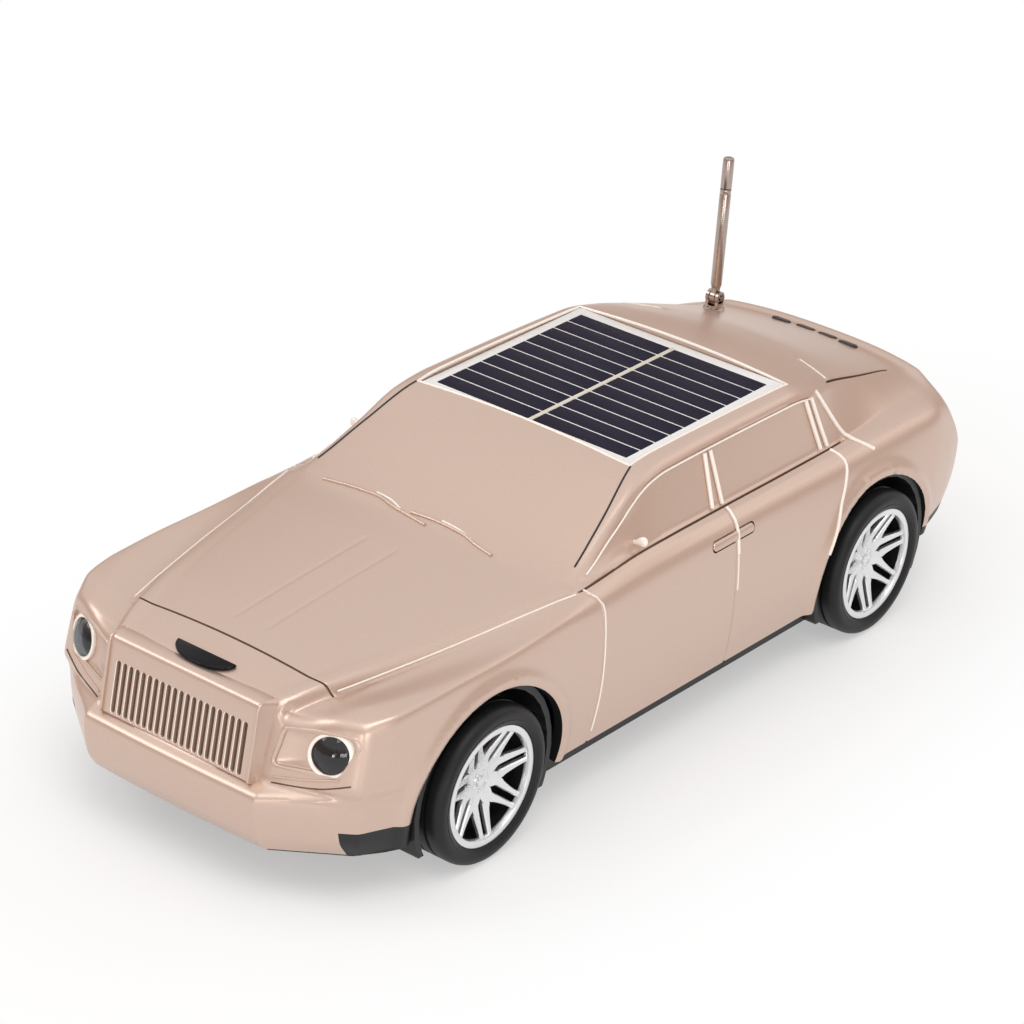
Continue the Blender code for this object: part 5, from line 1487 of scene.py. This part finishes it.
bm = bmesh.new()
first_cell = Matrix.Translation((-SLOT_PITCH * (SLOT_COUNT - 1) / 2, 0.0, 0.0))
grown(bm, slot_cell(), REPEAT, first_cell, Count=SLOT_COUNT, Step=(SLOT_PITCH, 0.0, 0.0), Finish=PAINT)
bmesh.ops.remove_doubles(bm, verts=bm.verts, dist=PLATE_WELD)
for side in (-1, 1):
    drawn_out(bm, lambda p: abs(p.x - side * CELLS_HALF) < NEAR_EDGE,
              [lambda p: Vector((side * PLATE_HALF, p.y, p.z))])
drawn_out(bm, lambda p: p.z > PLATE_HIGH - NEAR_EDGE, rolled_to(TOP_ROLL))
drawn_out(bm, lambda p: p.z < PLATE_LOW + NEAR_EDGE, rolled_to(FOOT_ROLL))
for side in (-1, 1):
    drawn_out(bm, lambda p: abs(p.x - side * PLATE_HALF) < NEAR_EDGE, ridged_to(side, SIDE_RIDGE))
bmesh.ops.remove_doubles(bm, verts=bm.verts, dist=PLATE_WELD)
bmesh.ops.holes_fill(bm, edges=[e for e in bm.edges if e.is_boundary], sides=0)
facing_out(bm)
for f in bm.faces:
    middle = f.calc_center_median()
    sink = middle.y - PLATE_Y
    f.material_index = ON_PLATE
    if abs(middle.x) < CELLS_HALF and abs(middle.z - SLOT_MIDDLE) < SLOT_HEIGHT / 2:
        if SLOT_EDGE[0] < sink < SLOT_EDGE[1]:
            f.material_index = ON_EDGE
        elif SLOT_FLOOR[0] < sink < SLOT_FLOOR[1]:
            f.material_index = ON_FLOOR
bmesh.ops.transform(bm, matrix=GRILLE_AT, verts=bm.verts)
grille = settled("grille_moulding", bm, (PAINT, PAINTED_SEAM_SHADE, PAINTED_HIGHLIGHT), GRILLE_SHARP)
dress(grille, "car", "body_paint", "grille_insert")

# Lamps: a dark domed lens held by a ring in the painted highlight, in a shallow dish of the skin
LENS_RADIUS = 3.75
LENS_CURVE = 6.0
LENS_RISE = 1.3
LENS_STEPS = 10
LAMP_ROUND = 56
RING_MIDDLE = (32.1, 32.8)
RING_SQUEEZE = 0.95
LAMP_FACING = (0.36, -1.0, 0.227)
# Loops of the surround: inset of its outline, or radius of the ring, and depth below the skin; then its back
DISH_STEPS = ((-0.75, 0.3), (-0.6, -0.08), (-0.35, -0.2), (-0.05, -0.14), (0.12, 0.1), (0.25, 0.45),
              (0.5, 0.6))
RING_STEPS = ((4.6, 0.6), (4.45, 0.05), (4.15, -0.15), (3.85, -0.1), (3.65, 0.15), (4.6, 1.3), (4.6, 2.6))
BACK_STEPS = ((0.9, 2.8), (0.2, 1.2))
RING_BANDS = slice(len(DISH_STEPS), len(DISH_STEPS) + 4)
SURROUND_SHARP = 50.0
# The ring's bands take the painted highlight
ON_RING = 1
LENS_PROFILE = [(r, LENS_RISE - LENS_CURVE + math.sqrt(LENS_CURVE ** 2 - r ** 2))
                for r in np.linspace(0.0, LENS_RADIUS, LENS_STEPS)]
LENS_PROFILE += [(LENS_RADIUS + 0.05, -0.4), (LENS_RADIUS + 0.05, -1.4), (3.1, -1.4), (2.2, -0.7),
                 (1.1, -0.35), (0.0, -0.25)]
REFLECTOR_PROFILE = [(4.25, -2.9), (4.25, -4.0), (2.7, -7.6), (1.6, -7.6), (1.6, -6.4), (2.1, -5.6),
                     (2.8, -4.6), (3.3, -3.8), (3.75, -2.9)]
LED_PROFILE = [(0.0, -3.4), (0.5, -3.48), (0.9, -3.75), (1.25, -4.2), (1.5, -4.8), (1.5, -9.0), (0.0, -9.0)]


def lamp_surround(side):
    """Rolled edge, dish and ring of a lamp as one closed shape on the front face."""
    bm = bmesh.new()
    outline = lamp_outline(1)

    def on_skin(points, sink):
        return [(side * x, float(front_y(x, z)) + sink, z) for x, z in points]

    def outline_loop(inset, sink):
        return on_skin(lamp_outline(1, inset), sink)

    def ring_loop(radius, sink):
        points = []
        for x, z in outline:
            angle = math.atan2(z - RING_MIDDLE[1], x - RING_MIDDLE[0])
            points.append((RING_MIDDLE[0] + RING_SQUEEZE * radius * math.cos(angle),
                           RING_MIDDLE[1] + radius * math.sin(angle)))
        return on_skin(points, sink)

    loops = [outline_loop(*step) for step in DISH_STEPS]
    loops += [ring_loop(*step) for step in RING_STEPS]
    loops += [outline_loop(*step) for step in BACK_STEPS]
    for band in loft(bm, loops, True)[RING_BANDS]:
        for f in band:
            f.material_index = ON_RING
    return bm


for side, word in SIDES:
    surround = lamp_surround(side)
    piece("lamp_surround_" + word, surround, (PAINT, PAINTED_HIGHLIGHT), "car", "body_paint", sharp=SURROUND_SHARP)
    lamp_at = Matrix.Translation((side * LAMP_PLACE[0], *LAMP_PLACE[1:])) @ UPRIGHT
    facing = Vector((side * LAMP_FACING[0], *LAMP_FACING[1:]))
    ring_at = Vector((side * RING_MIDDLE[0], float(front_y(*RING_MIDDLE)), RING_MIDDLE[1]))
    lens_at = Matrix.Translation(ring_at) @ facing.to_track_quat("Z", "Y").to_matrix().to_4x4()
    for kind, profile, closed, at, material, slot in (
            ("lens", LENS_PROFILE, False, lens_at, LENS, "lamp_lens"),
            ("reflector", REFLECTOR_PROFILE, True, lamp_at, REFLECTOR, "plated_rim"),
            ("led", LED_PROFILE, False, lamp_at, LED, "led")):
        bm = bmesh.new()
        turned(bm, profile, at, LAMP_ROUND, closed)
        piece("lamp_%s_%s" % (kind, word), bm, (material,), "car", slot, "headlamp_%s_%s" % (kind, word))

# Solar panel, its face sunk below the lip of its seat
BOARD_FOOT = -2.3
BOARD_TOP = -0.85
BOARD_CORNER = 0.4
BOARD_BEVEL = 0.15
CELL_TOP = -0.76
CELL_BED = 0.03
CELL_CORNER = 0.12
CELL_BEVEL = 0.05
RIBBON_SIZE = (0.8, CELL_AREA[1] + 1.2)
RIBBON_CORNER = 0.2
RIBBON_PROUD = 0.02
ROW_PITCH = (CELL_AREA[1] + CELL_GAP) / CELL_ROWS
STRIP_SIZE = (CELL_AREA[0] / 2 - BUS_HALF, ROW_PITCH - CELL_GAP)
# Loops of a bevelled upper edge: shares of the bevel inwards and downwards
BEVEL_STEPS = ((0.0, 1.0), (0.4, 0.3), (1.0, 0.0))


def slab(bm, outline, low, high, bevel, matrix=Matrix.Identity(4)):
    """Flat slab with a small bevel round its upper edge."""
    middle = sum((Vector(p) for p in outline), Vector((0.0, 0.0))) / len(outline)

    def loop(inset, z):
        return [matrix @ Vector((x, y, z)) for x, y in drawn_in(outline, middle, inset)]

    loft(bm, [loop(0.0, low)] + [loop(bevel * inwards, high - bevel * down) for inwards, down in BEVEL_STEPS])


bm = bmesh.new()
slab(bm, block_outline(PANEL, PANEL, radius=BOARD_CORNER), BOARD_FOOT, BOARD_TOP, BOARD_BEVEL, PANEL_AT)
piece("panel_board", bm, (WHITE_BOARD,), "car", "white_board", "solar_board")
cell_pair = bmesh.new()
for side in (-1, 1):
    centre = (side * (BUS_HALF + STRIP_SIZE[0] / 2), -CELL_AREA[1] / 2 + STRIP_SIZE[1] / 2)
    outline = block_outline(*STRIP_SIZE, centre, CELL_CORNER)
    slab(cell_pair, outline, BOARD_TOP - CELL_BED, CELL_TOP, CELL_BEVEL)
bm = bmesh.new()
cells_at = PANEL_AT @ Matrix.Translation((*CELL_SHIFT, 0.0))
grown(bm, cell_pair, REPEAT, cells_at, Count=CELL_ROWS, Step=(0.0, ROW_PITCH, 0.0), Finish=SILICON)
piece("cell_strips", bm, (SILICON,), "car", "solar_cell", "solar_cells", "solar_cover")
bm = bmesh.new()
ribbon_outline = block_outline(*RIBBON_SIZE, radius=RIBBON_CORNER)
slab(bm, ribbon_outline, BOARD_TOP - CELL_BED, CELL_TOP + RIBBON_PROUD, CELL_BEVEL, cells_at)
piece("bus_ribbon", bm, (RIBBON,), "car", "steel")

# Aerial: profiles as radius and height over its pivot
PIVOT_AT = Matrix.Translation(AERIAL_PIVOT)
PIN_AT = PIVOT_AT @ Matrix.Rotation(math.pi / 2, 4, "Y")
TUBE_END = TUBE_TOP - AERIAL_PIVOT[2]
ROD_END = AERIAL_TOP - AERIAL_PIVOT[2]
FOOT_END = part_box("aerial_base")[0].z / MM - AERIAL_PIVOT[2]
DECK_SKIN = -3.2
PIN_HOLE = 0.75
EYE_RADIUS = 1.5
EYE_BEVEL = (0.15, 0.12)
TUBE_ROUND = 48
FOOT_ROUND = 40
TONGUE_HALF = 0.7
FORK_SIDES = ((-1.75, -0.82), (0.82, 1.75))
OUTER_TUBE = [(1.05, 3.6), (1.05, TUBE_END), (1.2, TUBE_END), (TUBE_RADIUS, TUBE_END - 0.15),
              (TUBE_RADIUS, TUBE_END - 0.8), (1.22, TUBE_END - 0.95), (1.22, TUBE_END - 1.15),
              (TUBE_RADIUS, TUBE_END - 1.3), (TUBE_RADIUS, 3.2), (1.1, 2.4), (0.85, 2.05), (0.0, 2.05),
              (0.0, 3.6)]
MIDDLE_TUBE = [(0.0, 3.7), (0.93, 3.7), (0.93, TUBE_END + 0.04), (0.7, TUBE_END + 0.04), (0.7, 5.2),
               (0.0, 5.2)]
TIP_ROD = [(0.0, 5.3), (0.58, 5.3), (0.58, TUBE_END + 0.1), (1.1, TUBE_END + 0.1),
           (TUBE_RADIUS, TUBE_END + 0.25), (TUBE_RADIUS, ROD_END - 0.5), (1.15, ROD_END - 0.15),
           (0.85, ROD_END), (0.0, ROD_END)]
KNUCKLE = [(0.0, FOOT_END), (1.9, FOOT_END), (1.9, DECK_SKIN), (2.5, DECK_SKIN), (2.5, DECK_SKIN + 0.5),
           (2.3, DECK_SKIN + 0.75), (1.9, DECK_SKIN + 0.85), (1.8, -1.75), (0.0, -1.75)]
# Blocks that join tube and tongue, and foot and fork: width across the car, size along it, corner, heights
TONGUE_BLOCK = (2 * TONGUE_HALF, 2.0, 0.3, (0.9, 2.4))
FORK_BLOCK = (0.93, 2.6, 0.25, (-1.85, -0.6))


def pin_eye(bm, low, high):
    """Rounded ring on the aerial's pin."""
    inwards, along = EYE_BEVEL
    edge = EYE_RADIUS - inwards
    turned(bm, [(PIN_HOLE, low), (edge, low), (EYE_RADIUS, low + along), (EYE_RADIUS, high - along),
                (edge, high), (PIN_HOLE, high)], PIN_AT, FOOT_ROUND)


def joining_block(bm, block, x):
    """Small block beside or above the pin."""
    width, depth, corner, heights = block
    prism(bm, block_outline(width, depth, (x, 0.0), corner), *heights, PIVOT_AT)


bm = bmesh.new()
turned(bm, OUTER_TUBE, PIVOT_AT, TUBE_ROUND, False)
pin_eye(bm, -TONGUE_HALF, TONGUE_HALF)
joining_block(bm, TONGUE_BLOCK, 0.0)
piece("aerial_outer_tube", bm, (STEEL,), "aerial_outer", "steel", "aerial_tube")
bm = bmesh.new()
turned(bm, MIDDLE_TUBE, PIVOT_AT, FOOT_ROUND, False)
piece("aerial_middle_tube", bm, (STEEL,), "aerial_second", "steel", "aerial_middle")
bm = bmesh.new()
turned(bm, TIP_ROD, PIVOT_AT, TUBE_ROUND, False)
piece("aerial_tip_rod", bm, (STEEL,), "aerial_tip", "steel", "aerial_inner", "aerial_cap")
bm = bmesh.new()
turned(bm, KNUCKLE, PIVOT_AT, FOOT_ROUND, False)
for low, high in FORK_SIDES:
    pin_eye(bm, low, high)
    joining_block(bm, FORK_BLOCK, (low + high) / 2)
piece("aerial_knuckle", bm, (STEEL,), "car", "steel", "aerial_base")

# Tail buttons: inset and height of each loop, from the flange under the skin to the dished head
KEY_FOOT = -3.1
KEY_HEAD = BUTTON_PROUD - 0.2
KEY_STEPS = ((-0.6, KEY_FOOT), (-0.6, KEY_FOOT + 0.6), (0.02, KEY_FOOT + 0.65), (0.02, KEY_HEAD - 0.3),
             (0.1, KEY_HEAD - 0.1), (0.3, KEY_HEAD), (0.55, KEY_HEAD - 0.06))


def key_loop(centre, inset, z):
    size = [v - 2 * inset for v in BUTTON_SIZE]
    return [DECK_AT @ Vector((x, y, z)) for x, y in pill_outline(*size, centre)]


for number, centre in enumerate(BUTTON_XY, 1):
    bm = bmesh.new()
    loft(bm, [key_loop(centre, *step) for step in KEY_STEPS])
    node = "button_%d" % number
    piece("tail_key_%d" % number, bm, (KEY_RUBBER,), node + "_cap", "button_rubber", node)

# Blank half-moon plate on the bonnet
BADGE_WIDTH = 15.0
BADGE_DEPTH = 3.9
BADGE_FOOT = 0.05
BADGE_HEAD = 0.55
BADGE_BEVEL = 0.25
BADGE_POINTS = 41
BADGE_AT = placing((0.0, -103.0, 41.25), math.radians(12.0))
half_moon = [(BADGE_WIDTH / 2 * math.cos(a), BADGE_DEPTH / 2 + BADGE_DEPTH * math.sin(a))
             for a in np.linspace(math.pi, 2 * math.pi, BADGE_POINTS)]
bm = bmesh.new()
slab(bm, half_moon, BADGE_FOOT, BADGE_HEAD, BADGE_BEVEL, BADGE_AT)
piece("blank_badge", bm, (GLOSS_BLACK,), "car", "gloss_black", "badge_plate")

# Solids that stay in view as they are take the finish of their slot
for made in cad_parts.values():
    for holder in made.material_slots:
        if holder.material and holder.material.name in SLOT_FINISH:
            holder.material = SLOT_FINISH[holder.material.name]

# Floor: the paper keeps a lightened shadow within an oval round the car; distances in metres
FLOOR_HALF = 1.6
PAPER_FIBRE = 30.0
SHADOW_SQUEEZE = (1.0, 0.42, 1.0)
SHADOW_FROM = 0.044
SHADOW_TO = 0.105
SHADOW_LIFT = 0.42


def floor_finish():
    """Seamless white paper: it keeps the shadow round the car and fades to plain white further out."""
    material = bpy.data.materials.new("white_paper_sweep")
    material.use_nodes = True
    tree = material.node_tree
    paper = tree.nodes["Principled BSDF"]
    paper.inputs["Roughness"].default_value = 0.9
    paper.inputs["Specular IOR Level"].default_value = 0.1
    place = add_node(tree, "ShaderNodeTexCoord").outputs["Object"]
    fibre = add_node(tree, "ShaderNodeTexNoise", {
        "Vector": place, "Scale": per_mm(PAPER_FIBRE), "Detail": 3.0})
    tint = add_node(tree, "ShaderNodeMix", {"Factor": fibre.outputs["Fac"], "A": hex_colour("#FAFAFA"),
                                            "B": hex_colour("#FDFDFD")}, data_type="RGBA")
    tree.links.new(tint.outputs["Result"], paper.inputs["Base Color"])
    oval = add_node(tree, "ShaderNodeVectorMath", {0: place, 1: SHADOW_SQUEEZE}, operation="MULTIPLY")
    away = add_node(tree, "ShaderNodeVectorMath", {0: oval.outputs["Vector"]}, operation="LENGTH")
    fade = add_node(tree, "ShaderNodeMapRange", {"Value": away.outputs["Value"], "From Min": SHADOW_FROM,
                                                 "From Max": SHADOW_TO, "To Min": SHADOW_LIFT},
                    interpolation_type="SMOOTHSTEP")
    white = add_node(tree, "ShaderNodeEmission", {"Color": (1.0, 1.0, 1.0, 1.0), "Strength": 1.0})
    both = add_node(tree, "ShaderNodeMixShader", {0: fade.outputs["Result"], 1: paper.outputs["BSDF"],
                                                  2: white.outputs["Emission"]})
    tree.links.new(both.outputs["Shader"], tree.nodes["Material Output"].inputs["Surface"])
    return material


floor_mesh = bpy.data.meshes.new("floor")
floor_corners = [(x * FLOOR_HALF, y * FLOOR_HALF, 0) for x, y in ((-1, -1), (1, -1), (1, 1), (-1, 1))]
floor_mesh.from_pydata(floor_corners, [], [(0, 1, 2, 3)])
floor_mesh.materials.append(floor_finish())
floor = bpy.data.objects.new("floor", floor_mesh)
bpy.context.scene.collection.objects.link(floor)

# Studio: mirrored by the paint, it is darker and warmer near the horizon than overhead
HORIZON_LEVEL = 0.61
HORIZON_END = 0.3
OVERHEAD_FROM = 0.55
DIFFUSE_LEVEL = 0.75
HORIZON_TINT = "#FFE9DC"


def studio_world():
    """White surroundings whose level and tint differ for the rays that light, mirror and see them."""
    world = bpy.data.worlds.new("studio")
    world.use_nodes = True
    tree = world.node_tree
    backdrop = tree.nodes["Background"]
    rays = add_node(tree, "ShaderNodeLightPath")
    seen = rays.outputs["Is Camera Ray"]
    for kind in ("Is Glossy Ray", "Is Transmission Ray"):
        seen = add_node(tree, "ShaderNodeMath", {0: seen, 1: rays.outputs[kind]},
                        operation="MAXIMUM").outputs["Value"]
    direction = add_node(tree, "ShaderNodeTexCoord").outputs["Generated"]
    sky = add_node(tree, "ShaderNodeSeparateXYZ", {"Vector": direction})
    rise = add_node(tree, "ShaderNodeMapRange", {
        "Value": sky.outputs["Z"], "From Min": HORIZON_END, "From Max": OVERHEAD_FROM,
        "To Min": HORIZON_LEVEL, "To Max": 1.0}, interpolation_type="SMOOTHSTEP")
    shown = add_node(tree, "ShaderNodeMath", {0: rise.outputs["Result"], 1: rays.outputs["Is Camera Ray"]},
                     operation="MAXIMUM").outputs["Value"]
    level = add_node(tree, "ShaderNodeMapRange", {"Value": seen, "To Min": DIFFUSE_LEVEL, "To Max": shown})
    tree.links.new(level.outputs["Result"], backdrop.inputs["Strength"])
    warmth = add_node(tree, "ShaderNodeMapRange", {"Value": shown, "From Min": HORIZON_LEVEL})
    shade = add_node(tree, "ShaderNodeMix", {
        "Factor": warmth.outputs["Result"], "A": hex_colour(HORIZON_TINT), "B": hex_colour("#FFFFFF")},
        data_type="RGBA")
    tree.links.new(shade.outputs["Result"], backdrop.inputs["Color"])
    return world


bpy.context.scene.world = studio_world()

# Soft boxes: name, place, aim, size in metres, power in watts
SOFT_BOXES = (
    ("top_softbox", (0.32, -0.3, 0.95), (0.0, 0.0, 0.0), (0.5, 0.5), 2.0),
    ("front_softbox", (-0.6, -0.55, 0.75), (0.0, 0.0, 0.03), (0.4, 0.4), 1.5),
    ("lamp_glint", (0.42, -1.05, 0.1), (0.03, -0.1, 0.033), (0.16, 0.16), 0.75),
    ("corner_softbox", (0.85, -0.62, 0.16), (0.03, -0.09, 0.03), (0.4, 0.22), 1.3),
    ("rear_softbox", (0.55, 0.95, 0.62), (0.0, 0.0, 0.03), (0.6, 0.5), 0.5))
for name, place, aim, size, power in SOFT_BOXES:
    lamp = bpy.data.lights.new(name, "AREA")
    lamp.shape = "RECTANGLE"
    lamp.size, lamp.size_y = size
    lamp.energy = power
    soft_box = bpy.data.objects.new(name, lamp)
    soft_box.location = place
    soft_box.rotation_euler = (Vector(aim) - Vector(place)).to_track_quat("-Z", "Y").to_euler()
    bpy.context.scene.collection.objects.link(soft_box)

# Camera at the photograph's viewing angle
CAMERA_PLACE = (0.40567, -0.55291, 0.37712)
CAMERA_AZIMUTH = math.radians(36.67)
CAMERA_ELEVATION = math.radians(26.44)
CAMERA_ROLL = math.radians(-4.41)
CAMERA_LENS = 128.0
back = Vector((math.sin(CAMERA_AZIMUTH) * math.cos(CAMERA_ELEVATION),
               -math.cos(CAMERA_AZIMUTH) * math.cos(CAMERA_ELEVATION), math.sin(CAMERA_ELEVATION)))
across = Vector((math.cos(CAMERA_AZIMUTH), math.sin(CAMERA_AZIMUTH), 0.0))
down = (-back).cross(across)
right = across * math.cos(CAMERA_ROLL) + down * math.sin(CAMERA_ROLL)
below = down * math.cos(CAMERA_ROLL) - across * math.sin(CAMERA_ROLL)
camera_data = bpy.data.cameras.new("camera")
camera_data.lens = CAMERA_LENS
camera = bpy.data.objects.new("camera", camera_data)
camera.matrix_world = Matrix((right, -below, back)).transposed().to_4x4()
camera.location = CAMERA_PLACE
bpy.context.scene.collection.objects.link(camera)
bpy.context.scene.camera = camera
bpy.context.scene.view_settings.view_transform = "Standard"
